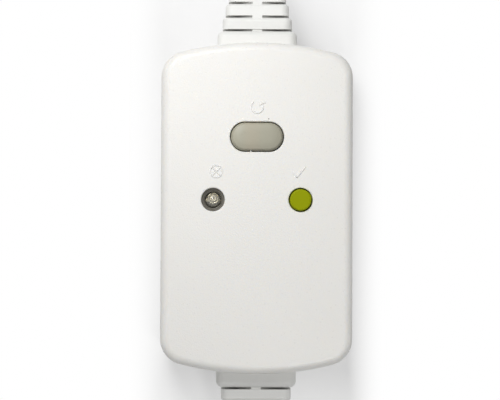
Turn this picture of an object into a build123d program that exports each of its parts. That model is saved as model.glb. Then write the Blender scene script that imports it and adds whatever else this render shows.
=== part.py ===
from build123d import *
from math import radians, sqrt, tan
import os

os.makedirs("parts", exist_ok=True)

# In-line portable residual current device, lying on its back.
# X runs across the case, Y along the cord towards the supply side, Z up through the buttons.
# The origin is under the middle of the case, on the surface it lies on. Millimetres and degrees.

# Case, two shells that meet at the height of the cord's axis
case_width = 60.0
case_length = 103.4
case_depth = 36.0
case_end_radius = 95.0
case_corner_radius = 8.4
case_draft = 1.0
wall = 2.2
face_wall = 2.4
end_wall = 3.5
front_edge_radius = 2.7
back_edge_radius = 2.2
seam_bevel = 0.25
tongue_height = 1.2
tongue_share = 0.5

# Clearances, and how far a cut runs past the solid it cuts
slip_gap = 0.1
screw_gap = 0.05
running_gap = 0.2
overrun = 1.0

# Openings for the controls in the front face, and the guides behind them
reset_y = 21.95
reset_opening_width = 16.7
reset_opening_height = 9.3
control_x = 13.55
control_y = 2.45
lamp_hole_radius = 3.62
test_hole_radius = 3.7
opening_edge_radius = 0.4
guide_wall = 1.4
reset_guide_height = 5.0
test_guide_height = 5.6

# Case screws, driven from the back
case_boss_radius = 3.9
case_boss_merge = 0.5
case_screw_radius = 1.5
case_head_radius = 2.6
case_head_height = 2.0
case_screw_grip = 10.0
case_well_radius = 2.9
case_well_depth = 8.0
recess_width = 0.7
recess_depth = 0.9
recess_share = 0.6

# Cord guards, mouldings held in both ends of the case
bore_radius = 4.4
flange_width = 30.0
flange_height = 23.0
flange_thickness = 1.5
collar_width = 25.0
collar_height = 18.0
collar_corner_radius = 2.5
collar_reach = 4.2
collar_edge_radius = 1.9
rib_count = 5
rib_width = 21.9
rib_height = 15.2
rib_thickness = 3.7
rib_width_drop = 1.9
rib_height_drop = 0.9
rib_edge_radius = 1.2
slit_width = 0.68
core_wall = 1.3
web_width = 3.1
web_drop = 0.5
tip_length = 3.0
tip_edge_radius = 0.5
keeper_thickness = 1.4
keeper_cord_gap = 0.6

# Cord clamps, a bar with two screws over each cord
clamp_boss_radius = 3.2
clamp_boss_x = 9.0
clamp_boss_rise = 2.75
clamp_bar_width = 26.0
clamp_bar_depth = 6.0
clamp_bar_height = 4.0
clamp_bar_edge = 0.6
clamp_groove_radius = 4.2
cradle_thickness = 2.4
clamp_screw_radius = 1.5
clamp_screw_length = 8.0
clamp_head_radius = 2.7
clamp_head_height = 1.8

# Circuit board on four posts
board_side_gap = 0.8
board_end_gap = 2.3
board_thickness = 1.6
board_corner_radius = 1.5
post_height = 5.0
post_radius = 2.6
post_inset_x = 2.8
post_inset_y = 2.5
board_screw_radius = 1.1
board_screw_length = 5.6
board_head_radius = 2.1
board_head_height = 1.4

# Terminals, a brass block for each core on the line side and on the load side
terminal_length = 9.0
terminal_height = 8.0
terminal_arm_gap = 0.7
terminal_gap = 1.5
terminal_end_inset = 5.0
terminal_side_inset = 0.3
terminal_edge = 0.4
wire_hole_radius = 1.7
wire_hole_depth = 7.0
wire_hole_height = 4.2
terminal_screw_offset = 2.5
terminal_screw_radius = 1.5
terminal_head_radius = 2.0
terminal_head_height = 1.4
strap_inset = 1.0
strap_thickness = 0.8

# Switch, two spring arms that a lifter holds up against fixed contacts
arm_x = 8.6
arm_width = 3.4
arm_thickness = 0.5
arm_root_y = -5.9
arm_tip_margin = 0.25
arm_height_share = 0.398
contact_inset = 1.5
contact_radius = 1.6
contact_thickness = 0.9
rivet_radius = 0.8
rivet_tail_radius = 1.2
rivet_tail_height = 0.4
fixed_plate_thickness = 1.0
fixed_plate_depth = 4.4
fixed_leg_thickness = 0.8

# Load busbars, from the spring arms through the transformer ring
busbar_thickness = 1.0
busbar_straight = 7.0
busbar_leg_offset = 3.5
busbar_pin_x = 2.4
busbar_pin_radius = 1.4

# Transformer ring
ring_y = -21.7
ring_radius = 9.5
ring_bore_radius = 4.6
ring_busbar_gap = 1.8
ring_edge = 0.8

# Solenoid, with its axis along the case
yoke_width = 11.0
yoke_plate = 1.0
yoke_start_y = -8.0
yoke_end_y = 11.0
yoke_height = 13.0
bobbin_flange = 12.6
bobbin_flange_thickness = 1.0
bobbin_tube_wall = 0.8
winding_thickness = 3.0
plunger_radius = 2.0
plunger_head_radius = 3.0
plunger_head_thickness = 1.2
plunger_head_gap = 2.4
plunger_spring_length = 6.0
rod_radius = 1.0

# Latch, a keyhole plate that slides in the lifter and holds the pin of the reset button
bridge_width = 10.6
bridge_thickness = 1.6
bridge_height_share = 0.63
bridge_hole_gap = 0.3
column_width = 1.6
lifter_base_share = 0.126
lifter_front = 5.0
lifter_back = 7.2
wing_reach = 10.5
wing_depth = 4.0
wing_height = 2.0
latch_width = 6.0
latch_thickness = 0.8
latch_height_share = 0.248
latch_front = 7.8
latch_back = 2.2
latch_tab_height = 2.6
latch_spring_length = 3.8
latch_travel = 1.8
latch_hole_gap = 0.1
latch_slot_gap = 0.15

# Reset button and its pin
reset_gap_x = 0.6
reset_gap_y = 0.55
reset_proud = 1.3
reset_edge_radius = 0.7
reset_flange_lip = 1.5
reset_flange_thickness = 1.2
reset_pop_out = 1.8
pin_radius = 1.5
pin_seat_depth = 2.0
pin_neck_radius = 1.0
pin_neck_length = 1.5
pin_head_radius = 1.9
pin_head_length = 2.1
pin_point_length = 1.0
pin_point_radius = 0.8

# Test button, the spring leaf under it and the contact under the leaf
test_gap = 0.4
test_proud = 0.9
test_edge_radius = 0.5
test_flange_lip = 1.5
test_flange_thickness = 1.0
test_press = 1.2
test_stem_radius = 1.6
test_stem_length = 8.0
test_tip_radius = 0.8
leaf_width = 4.0
leaf_thickness = 0.3
leaf_height = 5.0
leaf_lever = 10.45
leaf_tail = 4.55
leaf_post_depth = 2.4
test_contact_offset = 3.55
test_contact_radius = 0.8
test_contact_gap = 0.1

# Indicator lamp, a round lamp in a dark holder
lamp_radius = 2.5
lamp_flange_radius = 2.9
lamp_flange_thickness = 1.0
lamp_length = 8.7
lamp_recess = 1.6
lamp_lead_width = 0.5
lamp_lead_spacing = 2.54
holder_entry = 0.3
holder_cup_wall = 0.55
holder_stem_radius = 2.9
holder_lead_bore = 1.9
holder_floor = 0.8

# Springs
reset_wire_radius = 0.3
reset_spring_radius = 2.6
reset_spring_turns = 5
plunger_wire_radius = 0.2
plunger_spring_radius = 1.55
plunger_spring_turns = 6
latch_wire_radius = 0.15
latch_spring_radius = 0.85
latch_spring_turns = 5

# Electronics on the board
film_capacitor_y = -10.0
film_capacitor_arm_gap = 2.2
film_capacitor_strap_gap = 2.0
film_capacitor_length = 13.0
film_capacitor_height = 11.0
film_capacitor_edge = 0.5
varistor_y = 13.0
varistor_strap_gap = 3.0
varistor_radius = 5.5
varistor_thickness = 4.0
varistor_edge = 1.2
varistor_rise = 1.5
varistor_lead_spacing = 5.0
lead_radius = 0.35
electronics_inset = 6.3
chip_post_gap = 0.4
chip_width = 6.4
chip_length = 9.6
chip_height = 3.3
chip_pin_count = 4
chip_pin_width = 0.5
chip_pin_spacing = 2.4
chip_pin_reach = 0.9
chip_notch_radius = 0.8
electrolytic_thyristor_gap = 0.6
electrolytic_radius = 4.0
electrolytic_height = 12.0
electrolytic_edge = 0.6
thyristor_leaf_gap = 0.4
thyristor_radius = 2.3
thyristor_flat = 1.2
thyristor_height = 4.5
thyristor_rise = 2.0
thyristor_lead_spacing = 1.27
axial_radius = 1.0
axial_rise = 0.4
axial_lead_run = 0.9
resistor_start_y = -4.0
resistor_spacing = 3.0
resistor_count = 2
diode_side_gap = 0.6
diode_start_y = 21.5
diode_spacing = 2.8
diode_count = 4

# Outer limits of the case
half_width = case_width / 2
half_length = case_length / 2
parting_height = case_depth / 2
draft_slope = tan(radians(case_draft))
cover_inside = case_depth - face_wall
flat_end = half_length - end_wall
ends = ((1, "line"), (-1, "load"))
poles = ((-1, "live"), (1, "neutral"))

# Corner bosses sit on the diagonal of each corner and run into its wall
corner_reach = case_end_radius - case_corner_radius
corner_x = half_width - case_corner_radius
corner_y = half_length - case_end_radius + sqrt(corner_reach**2 - corner_x**2)
boss_shift = (case_corner_radius - wall - case_boss_radius + case_boss_merge) / sqrt(2)
boss_places = [
    (side_x * (corner_x + boss_shift), side_y * (corner_y + boss_shift))
    for side_x in (-1, 1)
    for side_y in (-1, 1)
]

# Along the cord: flange against the end wall, keeper rib behind it, then the clamp
flange_outer = flat_end - flange_height / 2 * draft_slope - slip_gap
flange_inner = flange_outer - flange_thickness
keeper_outer = flange_inner - slip_gap
keeper_inner = keeper_outer - keeper_thickness
clamp_y = keeper_inner - clamp_boss_radius - running_gap
clamp_boss_top = parting_height + clamp_boss_rise
clamp_bar_top = clamp_boss_top + clamp_bar_height
clamp_places = [
    (side_x * clamp_boss_x, side_y * clamp_y) for side_x in (-1, 1) for side_y in (-1, 1)
]

# Board
board_bottom = face_wall + post_height
board_top = board_bottom + board_thickness
board_half_width = (
    half_width - wall - (parting_height - board_bottom) * draft_slope - board_side_gap
)
board_half_length = clamp_y - clamp_boss_radius - board_end_gap
post_places = [
    (side_x * (board_half_width - post_inset_x), side_y * (board_half_length - post_inset_y))
    for side_x in (-1, 1)
    for side_y in (-1, 1)
]
room_height = cover_inside - board_top

# Terminals: two side by side between a contact arm and the edge of the board
arm_inner_x = arm_x - arm_width / 2
arm_outer_x = arm_x + arm_width / 2
terminal_start_x = arm_outer_x + terminal_arm_gap
terminal_end_x = board_half_width - terminal_side_inset
terminal_width = (terminal_end_x - terminal_start_x - terminal_gap) / 2
terminal_x = terminal_start_x + terminal_width / 2
terminal_y = board_half_length - terminal_end_inset - terminal_length / 2
earth_x = terminal_end_x - terminal_width / 2
strap_width = terminal_width - 2 * strap_inset
strap_inner_x = earth_x - strap_width / 2
strap_top = board_top + strap_thickness

# Switch
arm_bottom = board_top + room_height * arm_height_share
arm_top = arm_bottom + arm_thickness
contact_y = terminal_y - contact_inset
arm_tip_y = contact_y + contact_radius + arm_tip_margin
tips_meet = arm_top + contact_thickness
fixed_plate_bottom = tips_meet + contact_thickness
fixed_plate_top = fixed_plate_bottom + fixed_plate_thickness
fixed_leg_x = terminal_x + terminal_width / 2

# Busbars
busbar_start_y = arm_root_y - slip_gap
busbar_bend_y = busbar_start_y - busbar_straight
busbar_top = arm_bottom + busbar_thickness
busbar_leg_y = busbar_start_y - busbar_leg_offset
ring_top = arm_bottom - ring_busbar_gap

# Solenoid
yoke_floor = board_top + yoke_plate
coil_axis = yoke_floor + bobbin_flange / 2
bobbin_start_y = yoke_start_y + yoke_plate
bobbin_end_y = yoke_end_y - yoke_plate
bobbin_bore_radius = plunger_radius + running_gap
bobbin_tube_radius = bobbin_bore_radius + bobbin_tube_wall
winding_radius = bobbin_tube_radius + winding_thickness
plunger_end_y = bobbin_end_y - plunger_spring_length
plunger_head_y = yoke_start_y - plunger_head_gap

# Latch and frame
bridge_top = board_top + room_height * bridge_height_share
bridge_bottom = bridge_top - bridge_thickness
lifter_bottom = board_top + room_height * lifter_base_share
lifter_start_y = reset_y - lifter_front
lifter_end_y = reset_y + lifter_back
lifter_half_width = bridge_width / 2
column_start_y = lifter_start_y - running_gap - column_width
frame_end_y = lifter_end_y + running_gap + bridge_thickness
latch_bottom = board_top + room_height * latch_height_share
latch_top = latch_bottom + latch_thickness
latch_start_y = reset_y - latch_front
latch_end_y = reset_y + latch_back
latch_slot_end_y = latch_end_y + latch_spring_length
latch_middle = latch_bottom + latch_thickness / 2
latch_big_radius = pin_head_radius + latch_hole_gap
latch_small_radius = pin_neck_radius + latch_slot_gap

# Reset button
reset_cap_width = reset_opening_width - 2 * reset_gap_x
reset_cap_height = reset_opening_height - 2 * reset_gap_y
reset_flange_width = reset_cap_width + 2 * reset_flange_lip
reset_flange_height = reset_cap_height + 2 * reset_flange_lip
reset_guide_width = reset_flange_width + 2 * running_gap
reset_guide_depth = reset_flange_height + 2 * running_gap
reset_flange_top = cover_inside - reset_pop_out
reset_flange_bottom = reset_flange_top - reset_flange_thickness
reset_top = case_depth + reset_proud
pin_top = reset_flange_bottom + pin_seat_depth
pin_neck_top = latch_bottom + pin_neck_length
pin_head_bottom = latch_bottom - pin_head_length

# Test button and its leaf
test_cap_radius = test_hole_radius - test_gap
test_flange_radius = test_cap_radius + test_flange_lip
test_guide_radius = test_flange_radius + running_gap
test_flange_top = cover_inside - screw_gap
test_flange_bottom = test_flange_top - test_flange_thickness
test_stem_bottom = test_flange_bottom - test_stem_length
leaf_bottom = board_top + leaf_height
leaf_top = leaf_bottom + leaf_thickness
leaf_start_y = control_y - leaf_lever
leaf_end_y = control_y + leaf_tail
leaf_post_end_y = leaf_start_y - slip_gap
leaf_post_start_y = leaf_post_end_y - leaf_post_depth
test_contact_y = control_y + test_contact_offset
leaf_near_lever = leaf_lever - test_tip_radius
contact_far_lever = leaf_lever + test_contact_offset + test_contact_radius
leaf_drop = test_press * contact_far_lever / leaf_near_lever
test_contact_top = leaf_bottom - leaf_drop - test_contact_gap

# Indicator lamp
lamp_top = case_depth - lamp_recess
lamp_bottom = lamp_top - lamp_length
holder_bore_radius = lamp_flange_radius + screw_gap
holder_radius = holder_bore_radius + holder_cup_wall
holder_top = cover_inside + holder_entry

# Electronics: the capacitor and varistor between arm and strap, the rest beyond the test leaf
film_capacitor_start_x = arm_outer_x + film_capacitor_arm_gap
film_capacitor_width = strap_inner_x - film_capacitor_strap_gap - film_capacitor_start_x
film_capacitor_x = -film_capacitor_start_x - film_capacitor_width / 2
varistor_x = -strap_inner_x + varistor_strap_gap + varistor_thickness / 2
electronics_x = board_half_width - electronics_inset
chip_y = leaf_post_start_y - chip_post_gap - chip_length / 2
thyristor_y = leaf_end_y + thyristor_leaf_gap + thyristor_radius
electrolytic_y = thyristor_y + thyristor_flat + electrolytic_thyristor_gap + electrolytic_radius
diode_start_x = fixed_leg_x + fixed_leg_thickness + diode_side_gap
diode_end_x = board_half_width - diode_side_gap
diode_x = (diode_start_x + diode_end_x) / 2
axial_length = diode_end_x - diode_start_x - 2 * axial_lead_run


def block(low, high, mode=Mode.ADD):
    """A box between two opposite corners."""
    middle = [(near + far) / 2 for near, far in zip(low, high)]
    size = [far - near for near, far in zip(low, high)]
    with Locations(tuple(middle)):
        Box(*size, mode=mode)


def peg(place, low, high, radius, mode=Mode.ADD):
    """An upright cylinder at an x, y place."""
    with Locations((*place, low)):
        Cylinder(radius, high - low, align=(Align.CENTER, Align.CENTER, Align.MIN), mode=mode)


def lying_peg(x, height, start_y, end_y, radius, mode=Mode.ADD):
    """A cylinder that lies along Y."""
    with Locations((x, (start_y + end_y) / 2, height)):
        Cylinder(radius, abs(end_y - start_y), rotation=(90, 0, 0), mode=mode)


def end_plane(side, distance):
    """A plane across the cord at a distance from the middle, facing the end it is on."""
    return Plane(origin=(0, side * distance, parting_height), x_dir=(1, 0, 0), z_dir=(0, side, 0))


def case_plan(plane, inset):
    """The outline of the case moved inward: straight sides, arced ends, round corners."""
    across = half_width - inset
    along = half_length - inset
    radius = case_end_radius - inset
    side_end = along - radius + sqrt(radius**2 - across**2)
    with BuildSketch(plane) as plan:
        with BuildLine():
            Line((across, -side_end), (across, side_end))
            ThreePointArc((across, side_end), (0, along), (-across, side_end))
            Line((-across, side_end), (-across, -side_end))
            ThreePointArc((-across, -side_end), (0, -along), (across, -side_end))
        make_face()
        fillet(plan.vertices(), case_corner_radius - inset)
    return plan.sketch


def shell_blank(facing, depth, edge_radius):
    """Half of the case as a solid: drafted sides, a round outer edge and a bevel at the seam."""
    seam_plane = Plane(origin=(0, 0, parting_height), x_dir=(1, 0, 0), z_dir=(0, 0, facing))
    outline = case_plan(seam_plane.offset(seam_bevel), 0)
    with BuildPart() as blank:
        extrude(outline, amount=depth - seam_bevel, taper=case_draft)
        outer_face = blank.faces().sort_by(Axis((0, 0, 0), (0, 0, facing)))[-1]
        fillet(outer_face.edges(), edge_radius)
        loft([case_plan(seam_plane, seam_bevel), outline], ruled=True)
    return blank.part


def cavity_plan(plane, extra):
    """The outline of the hollow, flat at both ends where the cord guards seat."""
    with BuildSketch(plane) as plan:
        add(case_plan(Plane.XY, wall + extra))
        Rectangle(case_width, 2 * (flat_end - extra), mode=Mode.INTERSECT)
    return plan.sketch


def lip_ring(plane, outer_inset, extra):
    """The ring between the outline of the case and the hollow, for the tongue and its groove."""
    with BuildSketch(plane) as ring:
        add(case_plan(Plane.XY, outer_inset))
        add(cavity_plan(Plane.XY, extra), mode=Mode.SUBTRACT)
    return ring.sketch


def cut_cord_ways():
    """Cuts the collar openings through both end walls and the cord's way through the keepers."""
    for side, _ in ends:
        with BuildSketch(end_plane(side, flat_end - overrun)) as opening:
            RectangleRounded(
                collar_width + 2 * slip_gap,
                collar_height + 2 * slip_gap,
                collar_corner_radius + slip_gap,
            )
        extrude(opening.sketch, amount=end_wall + 2 * overrun, mode=Mode.SUBTRACT)
        keeper_cut = (side * (keeper_inner - overrun / 2), side * (keeper_outer + overrun))
        lying_peg(0, parting_height, *keeper_cut, bore_radius + keeper_cord_gap, Mode.SUBTRACT)


def screws(places, seat, facing, shank, head, recess):
    """Screws with their heads on the height seat, driven against facing, with cross recesses."""
    shank_radius, shank_length = shank
    head_radius, head_height = head
    for place in places:
        head_end = seat + facing * head_height
        shank_end = seat - facing * shank_length
        peg(place, min(seat, head_end), max(seat, head_end), head_radius)
        peg(place, min(seat, shank_end), max(seat, shank_end), shank_radius)
        recess_end = head_end - facing * recess_depth
        reach = head_radius * recess_share
        for across, along in recess:
            half_x = reach if across else recess_width / 2
            half_y = reach if along else recess_width / 2
            block(
                (place[0] - half_x, place[1] - half_y, min(head_end, recess_end)),
                (place[0] + half_x, place[1] + half_y, max(head_end, recess_end)),
                Mode.SUBTRACT,
            )


def spring(start, direction, length, radius, wire_radius, turns):
    """A compression spring as one wire along a helix between two seats."""
    coil_height = length - 2 * wire_radius
    centre = Vector(start) + Vector(direction) * wire_radius
    with BuildPart() as coil:
        with BuildLine() as path:
            Helix(coil_height / turns, coil_height, radius, center=centre, direction=direction)
        wire = path.wire()
        with BuildSketch(Plane(origin=wire @ 0, z_dir=wire % 0)):
            Circle(wire_radius)
        sweep(path=wire, is_frenet=True)
    return coil.part


cross_recess = ((True, False), (False, True))
slot_recess = ((True, False),)
front_plane = Plane.XY.offset(parting_height)
back_plane = Plane(origin=(0, 0, parting_height), x_dir=(1, 0, 0), z_dir=(0, 0, -1))

# Front cover, with the openings for the controls
with BuildPart() as front_cover:
    add(shell_blank(1, case_depth - parting_height, front_edge_radius))
    extrude(
        cavity_plan(front_plane, 0),
        amount=cover_inside - parting_height,
        taper=case_draft,
        mode=Mode.SUBTRACT,
    )
    for boss_place in boss_places:
        peg(boss_place, parting_height, cover_inside, case_boss_radius)
    for side, _ in ends:
        keeper_span = sorted((side * keeper_inner, side * keeper_outer))
        block(
            (-flange_width / 2, keeper_span[0], parting_height),
            (flange_width / 2, keeper_span[1], cover_inside),
        )
    extrude(
        lip_ring(back_plane, wall * tongue_share + slip_gap, 0),
        amount=tongue_height,
    )
    with BuildSketch(Plane.XY.offset(cover_inside - reset_guide_height)) as reset_guide:
        with Locations((0, reset_y)):
            SlotOverall(reset_guide_width + 2 * guide_wall, reset_guide_depth + 2 * guide_wall)
            SlotOverall(reset_guide_width, reset_guide_depth, mode=Mode.SUBTRACT)
    extrude(amount=reset_guide_height)
    with BuildSketch(Plane.XY.offset(cover_inside - test_guide_height)) as test_guide:
        with Locations((control_x, control_y)):
            Circle(test_guide_radius + guide_wall)
            Circle(test_guide_radius, mode=Mode.SUBTRACT)
    extrude(amount=test_guide_height)
    with BuildSketch(Plane.XY.offset(cover_inside - overrun)) as control_openings:
        with Locations((0, reset_y)):
            SlotOverall(reset_opening_width, reset_opening_height)
        with Locations((-control_x, control_y)):
            Circle(lamp_hole_radius)
        with Locations((control_x, control_y)):
            Circle(test_hole_radius)
    extrude(amount=face_wall + 2 * overrun, mode=Mode.SUBTRACT)
    front_face = front_cover.faces().sort_by(Axis.Z)[-1]
    fillet([edge for wire in front_face.inner_wires() for edge in wire.edges()], opening_edge_radius)
    for boss_place in boss_places:
        pilot_end = parting_height + case_screw_grip + overrun
        peg(
            boss_place,
            parting_height - overrun,
            pilot_end,
            case_screw_radius + screw_gap,
            Mode.SUBTRACT,
        )
    cut_cord_ways()
front_cover.part.label = "front_cover"
export_step(front_cover.part, "parts/front_cover.step")

# Rear cover, which carries the board, the cord clamps and the heads of the case screws
with BuildPart() as rear_cover:
    add(shell_blank(-1, parting_height, back_edge_radius))
    extrude(
        cavity_plan(back_plane, 0),
        amount=parting_height - face_wall,
        taper=case_draft,
        mode=Mode.SUBTRACT,
    )
    for boss_place in boss_places:
        peg(boss_place, face_wall, parting_height, case_boss_radius)
    for side, _ in ends:
        keeper_span = sorted((side * keeper_inner, side * keeper_outer))
        block(
            (-flange_width / 2, keeper_span[0], face_wall),
            (flange_width / 2, keeper_span[1], parting_height),
        )
        block(
            (-clamp_boss_x, side * clamp_y - cradle_thickness / 2, face_wall),
            (clamp_boss_x, side * clamp_y + cradle_thickness / 2, parting_height),
        )
        cradle_cut = (clamp_y - clamp_boss_radius, clamp_y + clamp_boss_radius)
        cradle_span = sorted((side * cradle_cut[0], side * cradle_cut[1]))
        lying_peg(0, parting_height, *cradle_span, clamp_groove_radius, Mode.SUBTRACT)
    for clamp_place in clamp_places:
        peg(clamp_place, face_wall, clamp_boss_top, clamp_boss_radius)
        clamp_pilot = clamp_bar_top - clamp_screw_length - overrun
        peg(
            clamp_place,
            clamp_pilot,
            clamp_boss_top + overrun,
            clamp_screw_radius + screw_gap,
            Mode.SUBTRACT,
        )
    for post_place in post_places:
        peg(post_place, face_wall, board_bottom, post_radius)
        post_pilot = board_top - board_screw_length - screw_gap
        peg(
            post_place,
            post_pilot,
            board_bottom + overrun,
            board_screw_radius + screw_gap,
            Mode.SUBTRACT,
        )
    for boss_place in boss_places:
        peg(boss_place, -overrun, case_well_depth, case_well_radius, Mode.SUBTRACT)
        peg(
            boss_place,
            0,
            parting_height + overrun,
            case_screw_radius + running_gap,
            Mode.SUBTRACT,
        )
    extrude(
        lip_ring(back_plane, wall * tongue_share, slip_gap),
        amount=tongue_height + slip_gap,
        mode=Mode.SUBTRACT,
    )
    cut_cord_ways()
rear_cover.part.label = "rear_cover"
export_step(rear_cover.part, "parts/rear_cover.step")

# Screws of the case, the clamps, the board and the terminals
with BuildPart() as case_screws:
    screws(
        boss_places,
        case_well_depth,
        -1,
        (case_screw_radius, parting_height - case_well_depth + case_screw_grip),
        (case_head_radius, case_head_height),
        cross_recess,
    )
case_screws.part.label = "case_screws"
export_step(case_screws.part, "parts/case_screws.step")

with BuildPart() as clamp_screws:
    screws(
        clamp_places,
        clamp_bar_top,
        1,
        (clamp_screw_radius, clamp_screw_length),
        (clamp_head_radius, clamp_head_height),
        cross_recess,
    )
clamp_screws.part.label = "clamp_screws"
export_step(clamp_screws.part, "parts/clamp_screws.step")

with BuildPart() as board_screws:
    screws(
        post_places,
        board_top,
        1,
        (board_screw_radius, board_screw_length),
        (board_head_radius, board_head_height),
        cross_recess,
    )
board_screws.part.label = "board_screws"
export_step(board_screws.part, "parts/board_screws.step")

with BuildPart() as terminal_screws:
    for side, _ in ends:
        screw_y = side * (terminal_y + terminal_screw_offset)
        for screw_x, block_floor in (
            (-terminal_x, board_top),
            (terminal_x, board_top),
            (-earth_x, strap_top),
        ):
            screws(
                [(screw_x, screw_y)],
                block_floor + terminal_height,
                1,
                (terminal_screw_radius, terminal_height - wire_hole_height),
                (terminal_head_radius, terminal_head_height),
                slot_recess,
            )
terminal_screws.part.label = "terminal_screws"
export_step(terminal_screws.part, "parts/terminal_screws.step")


def cord_guard(side):
    """A cord guard: flange, collar and ribs in one piece round the bore of the cord."""
    outward = Axis((0, 0, 0), (0, side, 0))
    collar_end = half_length + collar_reach
    with BuildPart() as guard:
        with BuildSketch(end_plane(side, flange_inner)) as flange:
            RectangleRounded(flange_width, flange_height, collar_corner_radius)
        extrude(flange.sketch, amount=flange_thickness)
        with BuildSketch(end_plane(side, flange_outer)) as collar:
            RectangleRounded(collar_width, collar_height, collar_corner_radius)
        extrude(collar.sketch, amount=collar_end - flange_outer)
        fillet(guard.faces().sort_by(outward)[-1].edges(), collar_edge_radius)
        for index in range(rib_count):
            slit_start = collar_end + index * (slit_width + rib_thickness)
            width = rib_width - index * rib_width_drop
            height = rib_height - index * rib_height_drop
            drop = web_drop if index == 0 else 0
            with BuildSketch(end_plane(side, slit_start - slit_width)) as core:
                Circle(bore_radius + core_wall)
                Rectangle(web_width, height - 2 * drop)
            extrude(core.sketch, amount=2 * slit_width)
            with BuildSketch(end_plane(side, slit_start + slit_width)) as rib:
                RectangleRounded(width, height, collar_corner_radius)
            extrude(rib.sketch, amount=rib_thickness)
            fillet(guard.faces().sort_by(outward)[-1].edges(), rib_edge_radius)
        tip_start = collar_end + rib_count * (slit_width + rib_thickness)
        with BuildSketch(end_plane(side, tip_start)) as tip:
            Circle(bore_radius + core_wall)
        extrude(tip.sketch, amount=tip_length)
        fillet(guard.faces().sort_by(outward)[-1].edges(), tip_edge_radius)
        with BuildSketch(end_plane(side, flange_inner - overrun)) as bore:
            Circle(bore_radius)
        bore_length = tip_start + tip_length - flange_inner + 2 * overrun
        extrude(bore.sketch, amount=bore_length, mode=Mode.SUBTRACT)
    return guard.part


# Cord guards and cord clamps at both ends
for side, end in ends:
    with BuildPart() as line_or_load_guard:
        add(cord_guard(side))
    line_or_load_guard.part.label = f"{end}_cord_guard"
    export_step(line_or_load_guard.part, f"parts/{end}_cord_guard.step")

    with BuildPart() as clamp_bar:
        block(
            (-clamp_bar_width / 2, side * clamp_y - clamp_bar_depth / 2, clamp_boss_top),
            (clamp_bar_width / 2, side * clamp_y + clamp_bar_depth / 2, clamp_bar_top),
        )
        fillet(clamp_bar.edges().filter_by(Axis.Z), clamp_bar_edge)
        fillet(clamp_bar.faces().sort_by(Axis.Z)[-1].edges(), clamp_bar_edge)
        groove_span = (
            side * clamp_y - clamp_bar_depth / 2 - overrun,
            side * clamp_y + clamp_bar_depth / 2 + overrun,
        )
        lying_peg(0, parting_height, *groove_span, clamp_groove_radius, Mode.SUBTRACT)
        for side_x in (-1, 1):
            peg(
                (side_x * clamp_boss_x, side * clamp_y),
                clamp_boss_top - overrun,
                clamp_bar_top + overrun,
                clamp_screw_radius + running_gap,
                Mode.SUBTRACT,
            )
    clamp_bar.part.label = f"{end}_cord_clamp"
    export_step(clamp_bar.part, f"parts/{end}_cord_clamp.step")

# Reset button, its steel pin and the spring round the pin
with BuildPart() as reset_button:
    with BuildSketch(Plane.XY.offset(reset_flange_bottom)) as reset_flange:
        with Locations((0, reset_y)):
            SlotOverall(reset_flange_width, reset_flange_height)
    extrude(amount=reset_flange_thickness)
    with BuildSketch(Plane.XY.offset(reset_flange_top)) as reset_cap:
        with Locations((0, reset_y)):
            SlotOverall(reset_cap_width, reset_cap_height)
    extrude(amount=reset_top - reset_flange_top)
    fillet(reset_button.faces().sort_by(Axis.Z)[-1].edges(), reset_edge_radius)
    peg(
        (0, reset_y),
        reset_flange_bottom - overrun,
        pin_top,
        pin_radius + screw_gap,
        Mode.SUBTRACT,
    )
reset_button.part.label = "reset_button"
export_step(reset_button.part, "parts/reset_button.step")

with BuildPart() as reset_pin:
    with BuildSketch(Plane.XZ.offset(-reset_y)) as pin_profile:
        with BuildLine():
            Polyline(
                (0, pin_head_bottom - pin_point_length),
                (pin_point_radius, pin_head_bottom - pin_point_length),
                (pin_head_radius, pin_head_bottom),
                (pin_head_radius, latch_bottom),
                (pin_neck_radius, latch_bottom),
                (pin_neck_radius, pin_neck_top),
                (pin_radius, pin_neck_top),
                (pin_radius, pin_top),
                (0, pin_top),
                close=True,
            )
        make_face()
    revolve(axis=Axis((0, reset_y, 0), (0, 0, 1)))
reset_pin.part.label = "reset_pin"
export_step(reset_pin.part, "parts/reset_pin.step")

with BuildPart() as reset_spring:
    add(
        spring(
            (0, reset_y, bridge_top),
            (0, 0, 1),
            reset_flange_bottom - bridge_top,
            reset_spring_radius,
            reset_wire_radius,
            reset_spring_turns,
        )
    )
reset_spring.part.label = "reset_spring"
export_step(reset_spring.part, "parts/reset_spring.step")

# Test button, the leaf that returns it, the post of the leaf and the contact under it
with BuildPart() as test_button:
    test_place = (control_x, control_y)
    peg(test_place, test_flange_bottom, test_flange_top, test_flange_radius)
    peg(test_place, test_flange_top, case_depth + test_proud, test_cap_radius)
    fillet(test_button.faces().sort_by(Axis.Z)[-1].edges(), test_edge_radius)
    peg(test_place, test_stem_bottom, test_flange_bottom, test_stem_radius)
    peg(test_place, leaf_top, test_stem_bottom, test_tip_radius)
test_button.part.label = "test_button"
export_step(test_button.part, "parts/test_button.step")

with BuildPart() as test_leaf:
    block(
        (control_x - leaf_width / 2, leaf_start_y, leaf_bottom),
        (control_x + leaf_width / 2, leaf_end_y, leaf_top),
    )
    fillet(
        test_leaf.edges().filter_by(Axis.Z).group_by(Axis.Y)[-1],
        leaf_width / 4,
    )
test_leaf.part.label = "test_leaf"
export_step(test_leaf.part, "parts/test_leaf.step")

with BuildPart() as test_leaf_post:
    block(
        (control_x - leaf_width / 2, leaf_post_start_y, board_top),
        (control_x + leaf_width / 2, leaf_post_end_y, leaf_top),
    )
test_leaf_post.part.label = "test_leaf_post"
export_step(test_leaf_post.part, "parts/test_leaf_post.step")

with BuildPart() as test_contact:
    peg((control_x, test_contact_y), board_top, test_contact_top, test_contact_radius)
    fillet(test_contact.faces().sort_by(Axis.Z)[-1].edges(), test_contact_radius / 4)
test_contact.part.label = "test_contact"
export_step(test_contact.part, "parts/test_contact.step")

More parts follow.
